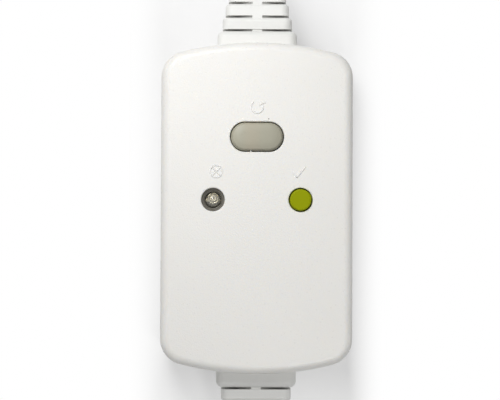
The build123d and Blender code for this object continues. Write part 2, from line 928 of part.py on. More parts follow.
# Indicator lamp and its holder
with BuildPart() as indicator_lamp:
    lamp_place = (-control_x, control_y)
    peg(lamp_place, lamp_bottom, lamp_bottom + lamp_flange_thickness, lamp_flange_radius)
    peg(lamp_place, lamp_bottom + lamp_flange_thickness, lamp_top - lamp_radius, lamp_radius)
    with Locations((*lamp_place, lamp_top - lamp_radius)):
        Sphere(lamp_radius)
    for side_x in (-1, 1):
        lead_x = -control_x + side_x * lamp_lead_spacing / 2
        block(
            (lead_x - lamp_lead_width / 2, control_y - lamp_lead_width / 2, board_top),
            (lead_x + lamp_lead_width / 2, control_y + lamp_lead_width / 2, lamp_bottom),
        )
indicator_lamp.part.label = "indicator_lamp"
export_step(indicator_lamp.part, "parts/indicator_lamp.step")

with BuildPart() as lamp_holder:
    peg(lamp_place, board_top, lamp_bottom - holder_floor, holder_stem_radius)
    peg(lamp_place, lamp_bottom - holder_floor, holder_top, holder_radius)
    peg(lamp_place, lamp_bottom, holder_top + overrun, holder_bore_radius, Mode.SUBTRACT)
    peg(lamp_place, board_top - overrun, lamp_bottom + overrun, holder_lead_bore, Mode.SUBTRACT)
lamp_holder.part.label = "lamp_holder"
export_step(lamp_holder.part, "parts/lamp_holder.step")

# Circuit board
with BuildPart() as circuit_board:
    with BuildSketch(Plane.XY.offset(board_bottom)) as board_plan:
        RectangleRounded(2 * board_half_width, 2 * board_half_length, board_corner_radius)
        with Locations(post_places):
            Circle(board_screw_radius + running_gap, mode=Mode.SUBTRACT)
    extrude(amount=board_thickness)
circuit_board.part.label = "circuit_board"
export_step(circuit_board.part, "parts/circuit_board.step")

# Terminals: live and neutral on the board, earth on a strap that joins both sides
for side, end in ends:
    for pole, terminal_side_x, terminal_floor in (
        ("live", -terminal_x, board_top),
        ("neutral", terminal_x, board_top),
        ("earth", -earth_x, strap_top),
    ):
        with BuildPart() as terminal:
            middle_y = side * terminal_y
            block(
                (terminal_side_x - terminal_width / 2, middle_y - terminal_length / 2, terminal_floor),
                (
                    terminal_side_x + terminal_width / 2,
                    middle_y + terminal_length / 2,
                    terminal_floor + terminal_height,
                ),
            )
            chamfer(terminal.faces().sort_by(Axis.Z)[-1].edges(), terminal_edge)
            wire_axis = terminal_floor + wire_hole_height
            mouth_y = side * (terminal_y + terminal_length / 2 + overrun)
            floor_y = side * (terminal_y + terminal_length / 2 - wire_hole_depth)
            lying_peg(terminal_side_x, wire_axis, mouth_y, floor_y, wire_hole_radius, Mode.SUBTRACT)
            peg(
                (terminal_side_x, side * (terminal_y + terminal_screw_offset)),
                wire_axis,
                terminal_floor + terminal_height + overrun,
                terminal_screw_radius + screw_gap,
                Mode.SUBTRACT,
            )
        terminal.part.label = f"{end}_{pole}_terminal"
        export_step(terminal.part, f"parts/{end}_{pole}_terminal.step")

with BuildPart() as earth_strap:
    strap_reach = terminal_y + terminal_length / 2
    block(
        (-earth_x - strap_width / 2, -strap_reach, board_top),
        (-earth_x + strap_width / 2, strap_reach, strap_top),
    )
earth_strap.part.label = "earth_strap"
export_step(earth_strap.part, "parts/earth_strap.step")

# Switch parts and load busbars, one of each for live and neutral
for side_x, pole in poles:
    arm_span = sorted((side_x * arm_inner_x, side_x * arm_outer_x))
    contact_place = (side_x * arm_x, contact_y)

    with BuildPart() as fixed_contact:
        plate_span = sorted((side_x * arm_inner_x, side_x * (fixed_leg_x + fixed_leg_thickness)))
        leg_span = sorted((side_x * fixed_leg_x, side_x * (fixed_leg_x + fixed_leg_thickness)))
        plate_start_y = contact_y - fixed_plate_depth / 2
        plate_end_y = contact_y + fixed_plate_depth / 2
        block(
            (plate_span[0], plate_start_y, fixed_plate_bottom),
            (plate_span[1], plate_end_y, fixed_plate_top),
        )
        block(
            (leg_span[0], plate_start_y, board_top),
            (leg_span[1], plate_end_y, fixed_plate_top),
        )
    fixed_contact.part.label = f"{pole}_fixed_contact"
    export_step(fixed_contact.part, f"parts/{pole}_fixed_contact.step")

    with BuildPart() as contact_arm:
        block((arm_span[0], arm_root_y, arm_bottom), (arm_span[1], arm_tip_y, arm_top))
        fillet(
            contact_arm.edges().filter_by(Axis.Z).group_by(Axis.Y)[-1],
            arm_width / 4,
        )
        peg(
            contact_place,
            arm_bottom - overrun,
            arm_top + overrun,
            rivet_radius + screw_gap,
            Mode.SUBTRACT,
        )
    contact_arm.part.label = f"{pole}_contact_arm"
    export_step(contact_arm.part, f"parts/{pole}_contact_arm.step")

    with BuildPart() as busbar:
        block((arm_span[0], busbar_bend_y, arm_bottom), (arm_span[1], busbar_start_y, busbar_top))
        with BuildSketch(Plane.XY.offset(arm_bottom)) as busbar_reach:
            with Locations((side_x * arm_x, busbar_bend_y), (side_x * busbar_pin_x, ring_y)):
                Circle(arm_width / 2)
            make_hull()
        extrude(amount=busbar_thickness)
        block(
            (arm_span[0], busbar_leg_y - busbar_thickness, board_top),
            (arm_span[1], busbar_leg_y, arm_bottom + busbar_thickness / 2),
        )
        peg((side_x * busbar_pin_x, ring_y), board_top, arm_bottom, busbar_pin_radius)
    busbar.part.label = f"{pole}_load_busbar"
    export_step(busbar.part, f"parts/{pole}_load_busbar.step")

with BuildPart() as fixed_contact_tips:
    for side_x, _ in poles:
        peg((side_x * arm_x, contact_y), tips_meet, fixed_plate_bottom, contact_radius)
fixed_contact_tips.part.label = "fixed_contact_tips"
export_step(fixed_contact_tips.part, "parts/fixed_contact_tips.step")

with BuildPart() as moving_contact_tips:
    for side_x, _ in poles:
        contact_place = (side_x * arm_x, contact_y)
        peg(contact_place, arm_top, tips_meet, contact_radius)
        peg(contact_place, arm_bottom, arm_top, rivet_radius)
        peg(contact_place, arm_bottom - rivet_tail_height, arm_bottom, rivet_tail_radius)
moving_contact_tips.part.label = "moving_contact_tips"
export_step(moving_contact_tips.part, "parts/moving_contact_tips.step")

# Transformer ring round both busbar pins
with BuildPart() as current_transformer:
    peg((0, ring_y), board_top, ring_top, ring_radius)
    fillet(current_transformer.edges().filter_by(GeomType.CIRCLE), ring_edge)
    peg((0, ring_y), board_top - overrun, ring_top + overrun, ring_bore_radius, Mode.SUBTRACT)
current_transformer.part.label = "current_transformer"
export_step(current_transformer.part, "parts/current_transformer.step")

# Solenoid
with BuildPart() as coil_yoke:
    block(
        (-yoke_width / 2, yoke_start_y, board_top),
        (yoke_width / 2, yoke_end_y, yoke_floor),
    )
    for plate_start_y in (yoke_start_y, yoke_end_y - yoke_plate):
        block(
            (-yoke_width / 2, plate_start_y, board_top),
            (yoke_width / 2, plate_start_y + yoke_plate, board_top + yoke_height),
        )
    head_side = (yoke_start_y - overrun, bobbin_start_y + overrun)
    rod_side = (bobbin_end_y - overrun, yoke_end_y + overrun)
    lying_peg(0, coil_axis, *head_side, plunger_radius + running_gap, Mode.SUBTRACT)
    lying_peg(0, coil_axis, *rod_side, rod_radius + running_gap, Mode.SUBTRACT)
coil_yoke.part.label = "coil_yoke"
export_step(coil_yoke.part, "parts/coil_yoke.step")

with BuildPart() as coil_bobbin:
    half_flange = bobbin_flange / 2
    for flange_start_y in (bobbin_start_y, bobbin_end_y - bobbin_flange_thickness):
        block(
            (-half_flange, flange_start_y, coil_axis - half_flange),
            (half_flange, flange_start_y + bobbin_flange_thickness, coil_axis + half_flange),
        )
    lying_peg(0, coil_axis, bobbin_start_y, bobbin_end_y, bobbin_tube_radius)
    bobbin_bore = (bobbin_start_y - overrun, bobbin_end_y + overrun)
    lying_peg(0, coil_axis, *bobbin_bore, bobbin_bore_radius, Mode.SUBTRACT)
coil_bobbin.part.label = "coil_bobbin"
export_step(coil_bobbin.part, "parts/coil_bobbin.step")

with BuildPart() as coil_winding:
    winding_start_y = bobbin_start_y + bobbin_flange_thickness
    winding_end_y = bobbin_end_y - bobbin_flange_thickness
    lying_peg(0, coil_axis, winding_start_y, winding_end_y, winding_radius)
    lying_peg(0, coil_axis, winding_start_y, winding_end_y, bobbin_tube_radius, Mode.SUBTRACT)
coil_winding.part.label = "coil_winding"
export_step(coil_winding.part, "parts/coil_winding.step")

with BuildPart() as plunger:
    head_start_y = plunger_head_y - plunger_head_thickness
    lying_peg(0, coil_axis, head_start_y, plunger_head_y, plunger_head_radius)
    lying_peg(0, coil_axis, plunger_head_y, plunger_end_y, plunger_radius)
    lying_peg(0, coil_axis, plunger_end_y, latch_start_y, rod_radius)
plunger.part.label = "plunger"
export_step(plunger.part, "parts/plunger.step")

with BuildPart() as plunger_spring:
    add(
        spring(
            (0, plunger_end_y, coil_axis),
            (0, 1, 0),
            plunger_spring_length,
            plunger_spring_radius,
            plunger_wire_radius,
            plunger_spring_turns,
        )
    )
plunger_spring.part.label = "plunger_spring"
export_step(plunger_spring.part, "parts/plunger_spring.step")

# Frame that guides the lifter and carries the reset spring
with BuildPart() as mechanism_frame:
    half_bridge = bridge_width / 2
    block((-half_bridge, column_start_y, bridge_bottom), (half_bridge, frame_end_y, bridge_top))
    block(
        (-half_bridge, frame_end_y - bridge_thickness, board_top),
        (half_bridge, frame_end_y, bridge_bottom),
    )
    for side_x in (-1, 1):
        column_span = sorted((side_x * half_bridge, side_x * (half_bridge - column_width)))
        block(
            (column_span[0], column_start_y, board_top),
            (column_span[1], column_start_y + column_width, bridge_bottom),
        )
    peg(
        (0, reset_y),
        bridge_bottom - overrun,
        bridge_top + overrun,
        pin_radius + bridge_hole_gap,
        Mode.SUBTRACT,
    )
mechanism_frame.part.label = "mechanism_frame"
export_step(mechanism_frame.part, "parts/mechanism_frame.step")

# Lifter, slotted for the latch plate and bored for the pin and the latch spring
with BuildPart() as lifter:
    block(
        (-lifter_half_width, lifter_start_y, lifter_bottom),
        (lifter_half_width, lifter_end_y, arm_bottom),
    )
    block(
        (-wing_reach, reset_y - wing_depth, arm_bottom - wing_height),
        (wing_reach, reset_y, arm_bottom),
    )
    peg(
        (0, reset_y),
        lifter_bottom - overrun,
        arm_bottom + overrun,
        pin_head_radius + running_gap,
        Mode.SUBTRACT,
    )
    block(
        (-latch_width / 2 - running_gap, lifter_start_y - overrun, latch_bottom - running_gap),
        (latch_width / 2 + running_gap, latch_slot_end_y, latch_top + running_gap),
        Mode.SUBTRACT,
    )
    spring_bore = latch_spring_radius + latch_wire_radius + slip_gap
    lying_peg(0, latch_middle, reset_y, latch_slot_end_y, spring_bore, Mode.SUBTRACT)
lifter.part.label = "lifter"
export_step(lifter.part, "parts/lifter.step")

# Latch plate: a round hole that frees the pin, a narrow slot that holds it, a tab to strike
with BuildPart() as latch_plate:
    with BuildSketch(Plane.XY.offset(latch_bottom)) as latch_plan:
        with Locations((0, (latch_start_y + latch_end_y) / 2)):
            Rectangle(latch_width, latch_end_y - latch_start_y)
        with Locations((0, reset_y - latch_travel)):
            Circle(latch_big_radius, mode=Mode.SUBTRACT)
        with Locations((0, reset_y - latch_travel / 2)):
            Rectangle(2 * latch_small_radius, latch_travel, mode=Mode.SUBTRACT)
        with Locations((0, reset_y)):
            Circle(latch_small_radius, mode=Mode.SUBTRACT)
    extrude(amount=latch_thickness)
    block(
        (-latch_width / 2, latch_start_y, latch_bottom),
        (latch_width / 2, latch_start_y + latch_thickness, latch_top + latch_tab_height),
    )
latch_plate.part.label = "latch_plate"
export_step(latch_plate.part, "parts/latch_plate.step")

with BuildPart() as latch_spring:
    add(
        spring(
            (0, latch_end_y, latch_middle),
            (0, 1, 0),
            latch_spring_length,
            latch_spring_radius,
            latch_wire_radius,
            latch_spring_turns,
        )
    )
latch_spring.part.label = "latch_spring"
export_step(latch_spring.part, "parts/latch_spring.step")

# Film capacitor and varistor on the live side
with BuildPart() as film_capacitor:
    with BuildSketch(Plane.XY.offset(board_top)) as film_capacitor_plan:
        with Locations((film_capacitor_x, film_capacitor_y)):
            Rectangle(film_capacitor_width, film_capacitor_length)
    extrude(amount=film_capacitor_height)
    fillet(film_capacitor.edges().filter_by(Axis.Z), film_capacitor_edge)
    fillet(film_capacitor.faces().sort_by(Axis.Z)[-1].edges(), film_capacitor_edge)
film_capacitor.part.label = "film_capacitor"
export_step(film_capacitor.part, "parts/film_capacitor.step")

with BuildPart() as varistor:
    varistor_middle = board_top + varistor_rise + varistor_radius
    with Locations((varistor_x, varistor_y, varistor_middle)):
        Cylinder(varistor_radius, varistor_thickness, rotation=(0, 90, 0))
    fillet(varistor.edges().filter_by(GeomType.CIRCLE), varistor_edge)
    for side_y in (-1, 1):
        lead_place = (varistor_x, varistor_y + side_y * varistor_lead_spacing / 2)
        peg(lead_place, board_top, varistor_middle, lead_radius)
varistor.part.label = "varistor"
export_step(varistor.part, "parts/varistor.step")

# Control chip, electrolytic capacitor and thyristor on the neutral side
with BuildPart() as control_chip:
    block(
        (electronics_x - chip_width / 2, chip_y - chip_length / 2, board_top),
        (electronics_x + chip_width / 2, chip_y + chip_length / 2, board_top + chip_height),
    )
    with Locations((electronics_x, chip_y + chip_length / 2, board_top + chip_height)):
        Cylinder(chip_notch_radius, chip_height / 2, mode=Mode.SUBTRACT)
    for index in range(chip_pin_count):
        pin_y = chip_y + (index - (chip_pin_count - 1) / 2) * chip_pin_spacing
        for side_x in (-1, 1):
            pin_span = sorted(
                (
                    electronics_x + side_x * chip_width / 2,
                    electronics_x + side_x * (chip_width / 2 + chip_pin_reach),
                )
            )
            block(
                (pin_span[0], pin_y - chip_pin_width / 2, board_top),
                (pin_span[1], pin_y + chip_pin_width / 2, board_top + chip_height / 2),
            )
control_chip.part.label = "control_chip"
export_step(control_chip.part, "parts/control_chip.step")

with BuildPart() as electrolytic_capacitor:
    electrolytic_place = (electronics_x, electrolytic_y)
    peg(electrolytic_place, board_top, board_top + electrolytic_height, electrolytic_radius)
    fillet(electrolytic_capacitor.edges().filter_by(GeomType.CIRCLE), electrolytic_edge)
electrolytic_capacitor.part.label = "electrolytic_capacitor"
export_step(electrolytic_capacitor.part, "parts/electrolytic_capacitor.step")

with BuildPart() as thyristor:
    thyristor_bottom = board_top + thyristor_rise
    with BuildSketch(Plane.XY.offset(thyristor_bottom)) as thyristor_plan:
        with Locations((electronics_x, thyristor_y)):
            Circle(thyristor_radius)
        with Locations((electronics_x, thyristor_y + thyristor_flat + thyristor_radius)):
            Rectangle(2 * thyristor_radius, 2 * thyristor_radius, mode=Mode.SUBTRACT)
    extrude(amount=thyristor_height)
    for index in (-1, 0, 1):
        lead_place = (electronics_x + index * thyristor_lead_spacing, thyristor_y)
        peg(lead_place, board_top, thyristor_bottom, lead_radius)
thyristor.part.label = "thyristor"
export_step(thyristor.part, "parts/thyristor.step")


def axial_part(x, y):
    """A small round part lying across the board on two bent leads."""
    lead_reach = axial_length / 2 + axial_lead_run
    middle = board_top + axial_rise + axial_radius
    with Locations((x, y, middle)):
        Cylinder(axial_radius, axial_length, rotation=(0, 90, 0))
        Cylinder(lead_radius, 2 * lead_reach, rotation=(0, 90, 0))
    for side_x in (-1, 1):
        lead_place = (x + side_x * (lead_reach - lead_radius), y)
        peg(lead_place, board_top, middle, lead_radius)


with BuildPart() as resistors:
    for index in range(resistor_count):
        axial_part(electronics_x, resistor_start_y + index * resistor_spacing)
resistors.part.label = "resistors"
export_step(resistors.part, "parts/resistors.step")

with BuildPart() as diodes:
    for index in range(diode_count):
        axial_part(diode_x, diode_start_y + index * diode_spacing)
diodes.part.label = "diodes"
export_step(diodes.part, "parts/diodes.step")
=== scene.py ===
from math import cos, pi, radians

import bmesh
import bpy
import numpy as np
from mathutils import Matrix, Vector


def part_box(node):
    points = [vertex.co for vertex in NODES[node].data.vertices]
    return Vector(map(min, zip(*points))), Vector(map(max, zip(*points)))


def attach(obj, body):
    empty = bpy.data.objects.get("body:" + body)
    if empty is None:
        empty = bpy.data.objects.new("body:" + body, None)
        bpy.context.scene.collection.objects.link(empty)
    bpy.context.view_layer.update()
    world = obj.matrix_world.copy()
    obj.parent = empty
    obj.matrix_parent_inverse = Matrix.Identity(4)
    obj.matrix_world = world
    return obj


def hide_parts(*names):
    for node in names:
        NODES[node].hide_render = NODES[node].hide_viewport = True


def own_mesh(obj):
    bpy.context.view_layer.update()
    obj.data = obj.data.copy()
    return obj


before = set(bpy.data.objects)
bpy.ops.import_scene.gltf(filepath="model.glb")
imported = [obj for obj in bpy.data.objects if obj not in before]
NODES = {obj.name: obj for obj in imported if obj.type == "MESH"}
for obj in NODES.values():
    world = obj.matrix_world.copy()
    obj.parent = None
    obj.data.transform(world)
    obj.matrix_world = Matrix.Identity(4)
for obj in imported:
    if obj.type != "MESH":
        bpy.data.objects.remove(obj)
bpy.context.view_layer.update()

bl_info = {
    "name": "In-line residual current device",
    "version": (1, 0, 0),
    "blender": (4, 5, 0),
    "location": "3D View > Sidebar > Device",
    "description": "Finishes, details and stage for the model of an in-line residual current device",
    "category": "Object",
}

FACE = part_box("front_cover")[1].z  # height of the face
PHOTO_WIDTH, PHOTO_HEIGHT = 500, 400
MM = 0.001
WHITE = (1, 1, 1, 1)


# ---- Surfaces ---------------------------------------------------------------

def full_turn(count):
    """Angles evenly spaced over one full turn."""
    return np.linspace(0, 2 * pi, count, endpoint=False)


def around(centre, radius, angle, height):
    """Points round an upright axis: x = r cos a and y = r sin a from the centre, z = height."""
    x, y = centre[0] + radius * np.cos(angle), centre[1] + radius * np.sin(angle)
    return np.stack(np.broadcast_arrays(x, y, height), axis=-1)


def surface(points, close_rows=False):
    """A surface as its points, shaped (rows, columns, 3), and its quads. Each row closes on itself,
    and with close_rows the last row joins the first one too."""
    rows, columns = points.shape[:2]
    row = np.arange(rows if close_rows else rows - 1)
    i, j = np.meshgrid(row, np.arange(columns), indexing="ij")
    ahead, beside = (i + 1) % rows, (j + 1) % columns
    corners = (i * columns + j, i * columns + beside, ahead * columns + beside, ahead * columns + j)
    return points.reshape(-1, 3), np.stack(corners, axis=-1).reshape(-1, 4)


def new_object(name, data):
    """An object with its data, linked to the scene."""
    added = bpy.data.objects.new(name, data)
    bpy.context.scene.collection.objects.link(added)
    return added


def add_piece(name, surfaces, material, body, replaced=(), sharp=35):
    """Makes one mesh of several surfaces, merges its seams and poles, and puts it on a body."""
    starts = np.cumsum([0] + [len(points) for points, _ in surfaces[:-1]])
    points = np.concatenate([points for points, _ in surfaces])
    quads = np.concatenate([quads + start for (_, quads), start in zip(surfaces, starts)])
    mesh = bpy.data.meshes.new(name)
    mesh.from_pydata(points.tolist(), [], quads.tolist())
    build = bmesh.new()
    build.from_mesh(mesh)
    bmesh.ops.remove_doubles(build, verts=build.verts, dist=1e-7)
    bmesh.ops.dissolve_degenerate(build, edges=build.edges, dist=1e-8)
    bmesh.ops.recalc_face_normals(build, faces=build.faces)
    build.to_mesh(mesh)
    build.free()
    mesh.shade_smooth()
    mesh.set_sharp_from_angle(angle=radians(sharp))
    mesh.materials.append(material)
    piece = new_object(name, mesh)
    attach(piece, body)
    if replaced:
        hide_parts(*replaced)
    return piece


def revolved(profile, centre, count=64):
    """A profile of (radius, height) turned round an upright axis."""
    radius, height = np.asarray(profile, float).T[..., None]
    return surface(around(centre, radius, full_turn(count), height))


def stadium_stack(profile, centre, half_length, count=24):
    """A profile of (radius, height) carried round a stadium: a point at an angle lies at the radius
    from the near end of the middle line, which runs half_length to each side along x."""
    radius, height = np.asarray(profile, float).T[..., None]
    right = np.linspace(-pi / 2, pi / 2, count)
    ends = centre[0] + np.repeat((half_length, -half_length), count)
    points = around((ends, centre[1]), radius, np.concatenate((right, right + pi)), height)
    return surface(points)


def rounded_square(turn, power):
    """Points r cos a, r sin a of a square with soft corners, as two arrays: r is |cos a| to the power n
    plus |sin a| to the power n, to the power -1/n, with n = 2 / power. The angle a is the turn t plus
    0.7 sin(4t) / 4, so that the points draw together at the corners."""
    angle = turn + 0.7 * np.sin(4 * turn) / 4
    across, up = np.cos(angle), np.sin(angle)
    radius = (np.abs(across) ** (2 / power) + np.abs(up) ** (2 / power)) ** (-power / 2)
    return radius * across, radius * up


def soft_block(low, high, power=0.25, count=28):
    """A block with soft edges, a superellipsoid: a rounded square from pole to pole, carried round a
    second one, and stretched to the half sizes of the block."""
    low, high = np.asarray(low, float), np.asarray(high, float)
    out, up = rounded_square(np.linspace(-pi / 2, pi / 2, count), power)
    across, along = rounded_square(full_turn(2 * count), power)
    level = np.outer(up, np.ones(2 * count))
    shape = np.stack((np.outer(out, across), np.outer(out, along), level), axis=-1)
    return surface((low + high) / 2 + shape * (high - low) / 2)


def tube(path, radius, count=12):
    """A round tube along a line of points, closed at both ends. Each ring stands across the line in
    the frame of its direction and a fixed side way, and the ends shrink to a point."""
    path = np.asarray(path, float)
    way = np.gradient(path, axis=0)
    way /= np.linalg.norm(way, axis=1, keepdims=True)
    side = np.cross(way, np.array([0.0, 1.0, 0.0]))
    side /= np.linalg.norm(side, axis=1, keepdims=True)
    other = np.cross(way, side)
    angle = full_turn(count)[:, None]
    width = np.full(len(path), radius)
    width[[0, -1]] = 0
    ring = side[:, None] * np.cos(angle) + other[:, None] * np.sin(angle)
    return surface(path[:, None] + ring * width[:, None, None])


def coil(low, high, axis, wire, turns):
    """A compression spring that fills a box along one axis. A point at turn angle t and section
    angle a lies at the radius R + w cos a round the axis and at the height z + w sin a, where z
    rises slowly in the end turns and faster between: as the share of the turns less 0.45 times the
    sine of 2 pi times that share, over 2 pi."""
    low, high = np.asarray(low, float), np.asarray(high, float)
    share, section = np.meshgrid(np.linspace(0, 1, turns * 36), full_turn(10), indexing="ij")
    size = np.full_like(share, wire)
    size[[0, -1]] = 0
    side, other = [index for index in range(3) if index != axis]
    centre = ((low + high) / 2)[[side, other]]
    radius = (high[side] - low[side]) / 2 - wire + size * np.cos(section)
    rise = share - 0.45 * np.sin(2 * pi * share) / (2 * pi)
    height = low[axis] + wire + rise * (high[axis] - low[axis] - 2 * wire) + size * np.sin(section)
    points = np.empty((*share.shape, 3))
    points[..., [side, other, axis]] = around(centre, radius, 2 * pi * turns * share, height)
    return surface(points)


def raised_stroke(path, width, height, base, closed=False):
    """A raised line on a flat face. Its section is a low arch: the offset runs as the cosine of the
    section angle and the height as its sine to the power 0.45. Open ends are rounded: there the
    offset shrinks as the cosine of a second angle, the height as that cosine to the power 0.45, and
    the line runs on as its sine."""
    path = np.asarray(path, float)
    if closed:
        way = np.roll(path, -1, axis=0) - np.roll(path, 1, axis=0)
    else:
        way = np.gradient(path, axis=0)
    way /= np.linalg.norm(way, axis=1, keepdims=True)
    shrink = np.ones(len(path))
    if not closed:
        turn = np.linspace(pi / 2, 0, 7)
        lead = path[0] - way[0] * width / 2 * np.sin(turn)[:, None]
        tail = path[-1] + way[-1] * width / 2 * np.sin(turn[::-1])[:, None]
        path = np.concatenate((lead, path[1:-1], tail))
        start, end = np.repeat(way[:1], len(turn), 0), np.repeat(way[-1:], len(turn), 0)
        way = np.concatenate((start, way[1:-1], end))
        shrink = np.concatenate((np.cos(turn), shrink[1:-1], np.cos(turn[::-1])))
    side = np.stack((-way[:, 1], way[:, 0]), axis=-1)
    arch = np.linspace(0, pi, 13)
    offset = side[:, None] * (np.cos(arch) * width / 2)[:, None] * shrink[:, None, None]
    rise = np.sin(arch).clip(0) ** 0.45 * height * shrink[:, None] ** 0.45
    points = np.concatenate((path[:, None] + offset, (base + rise)[..., None]), axis=-1)
    under = points[:, ::-1].copy()
    under[..., 2] = base - height
    loop = np.concatenate((points, under), axis=1)
    return surface(loop, close_rows=closed)


def raised_patch(corners, height, base):
    """A raised flat shape with straight sides. Rings run from its middle to its rim, where the height
    is the square root of 1 minus the share of the way to the power 5, and back below the face."""
    corners = np.asarray(corners, float)
    sides = zip(corners, np.roll(corners, -1, axis=0))
    rim = np.concatenate([line(start, end, 13)[:-1] for start, end in sides])
    middle = corners.mean(axis=0)
    top = np.linspace(0, 1, 12)
    share = np.concatenate((top, (1, 0)))
    points = np.empty((len(share), len(rim), 3))
    points[..., :2] = middle + share[:, None, None] * (rim - middle)
    points[..., 2] = base + np.concatenate((np.sqrt(1 - top ** 5), (-1, -1)))[:, None] * height
    return surface(points)


def arc(centre, radius, start, end, count=48):
    """Points x = r cos a, y = r sin a from a centre, the angle in degrees from start to end."""
    angle = np.radians(np.linspace(start, end, count))
    return np.stack((centre[0] + radius * np.cos(angle), centre[1] + radius * np.sin(angle)), axis=-1)


def line(start, end, count=8):
    """Points on a straight line, evenly spaced from start to end."""
    share = np.linspace(0, 1, count)[:, None]
    return np.asarray(start, float) * (1 - share) + np.asarray(end, float) * share


# ---- Finishes ---------------------------------------------------------------

class Socket:
    """A shader output that takes part in expressions. Each operator adds a Math node."""

    def __init__(self, tree, outlet):
        self.tree = tree
        self.outlet = outlet

    def math(self, operation, *values):
        return self.tree.node("ShaderNodeMath", {"operation": operation}, dict(enumerate(values)))

    def __add__(self, other):
        return self.math("ADD", self, other)

    __radd__ = __add__

    def __mul__(self, other):
        return self.math("MULTIPLY", self, other)

    __rmul__ = __mul__

    def __sub__(self, other):
        return self.math("SUBTRACT", self, other)

    def __rsub__(self, other):
        return self.math("SUBTRACT", other, self)

    def __truediv__(self, other):
        return self.math("DIVIDE", self, other)

    def __abs__(self):
        return self.math("ABSOLUTE", self)

    def __gt__(self, other):
        return self.math("GREATER_THAN", self, other)

    def __lt__(self, other):
        return self.math("LESS_THAN", self, other)

    def __pow__(self, other):
        return self.math("POWER", self, other)

    def at_least(self, low):
        return self.math("MAXIMUM", self, low)

    def at_most(self, high):
        return self.math("MINIMUM", self, high)


class Shading:
    """The nodes of a material or of the world, in the making."""

    def __init__(self, owner):
        owner.use_nodes = True
        self.owner = owner
        self.nodes = owner.node_tree.nodes
        self.links = owner.node_tree.links
        self.nodes.clear()

    def node(self, kind, settings=None, inputs=None, out=0):
        """Adds a node of a type, sets it up, feeds its inputs and gives one of its outputs."""
        added = self.nodes.new(kind)
        for key, value in (settings or {}).items():
            setattr(added, key, value)
        for key, value in (inputs or {}).items():
            if isinstance(value, Socket):
                self.links.new(value.outlet, added.inputs[key])
            else:
                added.inputs[key].default_value = value
        return None if out is None else Socket(self, added.outputs[out])

    def seen(self):
        """1 on what the camera, a mirror or clear resin shows, 0 on what only lights the object."""
        camera, mirror, clear = [self.node("ShaderNodeLightPath", out=f"Is {kind} Ray")
                                 for kind in ("Camera", "Glossy", "Transmission")]
        return (camera + mirror + clear).at_most(1.0)


class Finish(Shading):
    """A material in the making, with the coordinates it reads and its patterns."""

    def __init__(self, name):
        super().__init__(bpy.data.materials.new(name))
        self.place = self.node("ShaderNodeTexCoord", out="Object")

    def axis(self, name):
        """One of the object's coordinates, in metres."""
        return self.node("ShaderNodeSeparateXYZ", inputs={0: self.place}, out=name)

    def scaled(self, *scale):
        """The object's coordinates times a scale along each axis."""
        return self.node("ShaderNodeVectorMath", {"operation": "MULTIPLY"}, {0: self.place, 1: scale})

    def noise(self, size, detail=2.0, place=None):
        """Noise between 0 and 1 whose grain is about a size in metres."""
        return self.node("ShaderNodeTexNoise", inputs={
            "Vector": place or self.place, "Scale": 1 / size, "Detail": detail, "Roughness": 0.55})

    def cells(self, size, place=None, feature="F1"):
        """Distance to the nearest of scattered points about a size apart, in cell units."""
        return self.node("ShaderNodeTexVoronoi", {"feature": feature},
                         {"Vector": place or self.place, "Scale": 1 / size})

    def along(self, node, name):
        """The share of the way through a CAD node's box along one axis, from its low side."""
        low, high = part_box(node)
        start, end = getattr(low, name.lower()), getattr(high, name.lower())
        return (self.axis(name) - start) / (end - start)

    def mix(self, factor, one, two):
        """A colour between two colours."""
        return self.node("ShaderNodeMix", {"data_type": "RGBA"}, {0: factor, 6: one, 7: two}, out=2)

    def shade(self, colour, amount):
        """A colour made lighter or darker by a value around 1."""
        scale = self.node("ShaderNodeCombineColor", inputs={0: amount, 1: amount, 2: amount})
        return self.node("ShaderNodeMix", {"data_type": "RGBA", "blend_type": "MULTIPLY"},
                         {0: 1.0, 6: colour, 7: scale}, out=2)

    def finish(self, colour, roughness, height, depth, others=None):
        """The surface shader. Height, a value around 0 to 1, times depth in metres is the relief."""
        relief = {"Strength": 1.0, "Distance": depth, "Height": height}
        normal = self.node("ShaderNodeBump", inputs=relief, out="Normal")
        inputs = {"Base Color": colour, "Roughness": roughness, "Normal": normal, **(others or {})}
        return self.end(self.node("ShaderNodeBsdfPrincipled", inputs=inputs))

    def end(self, shader):
        """Ends the material in a shader and gives the material."""
        self.node("ShaderNodeOutputMaterial", inputs={"Surface": shader}, out=None)
        return self.owner


def rgba(colour, share=1.0):
    """A colour with full alpha, its parts taken to a share."""
    return (*(share * part for part in colour), 1.0)


def spark_eroded(name, colour, grain, relief, roughness=0.34, speck=None):
    """White case plastic: a fine spark-eroded skin of two sizes of pits, faint clouding and flecks
    that catch the light. A speck is a tiny dark mark, given as x, y and radius."""
    finish = Finish(name)
    pits = finish.noise(grain) * 0.65 + finish.noise(grain * 0.4, 1.0) * 0.35
    clouds = finish.noise(0.022)
    flecks = finish.cells(grain * 3.2) < 0.16
    tint = finish.shade(rgba(colour), clouds * 0.03 + pits * 0.05 + 0.96)
    if speck:
        across = finish.axis("X") - speck[0]
        along = finish.axis("Y") - speck[1]
        near = (across * across + along * along) < speck[2] ** 2
        tint = finish.mix(near * 0.75, tint, rgba((0.10, 0.09, 0.07)))
    shine = roughness + (pits - 0.5) * 0.22 - flecks * 0.16
    return finish.finish(tint, shine, pits, relief, {
        "IOR": 1.49, "Subsurface Weight": 0.3, "Subsurface Radius": (1.0, 0.9, 0.75),
        "Subsurface Scale": 0.0006})


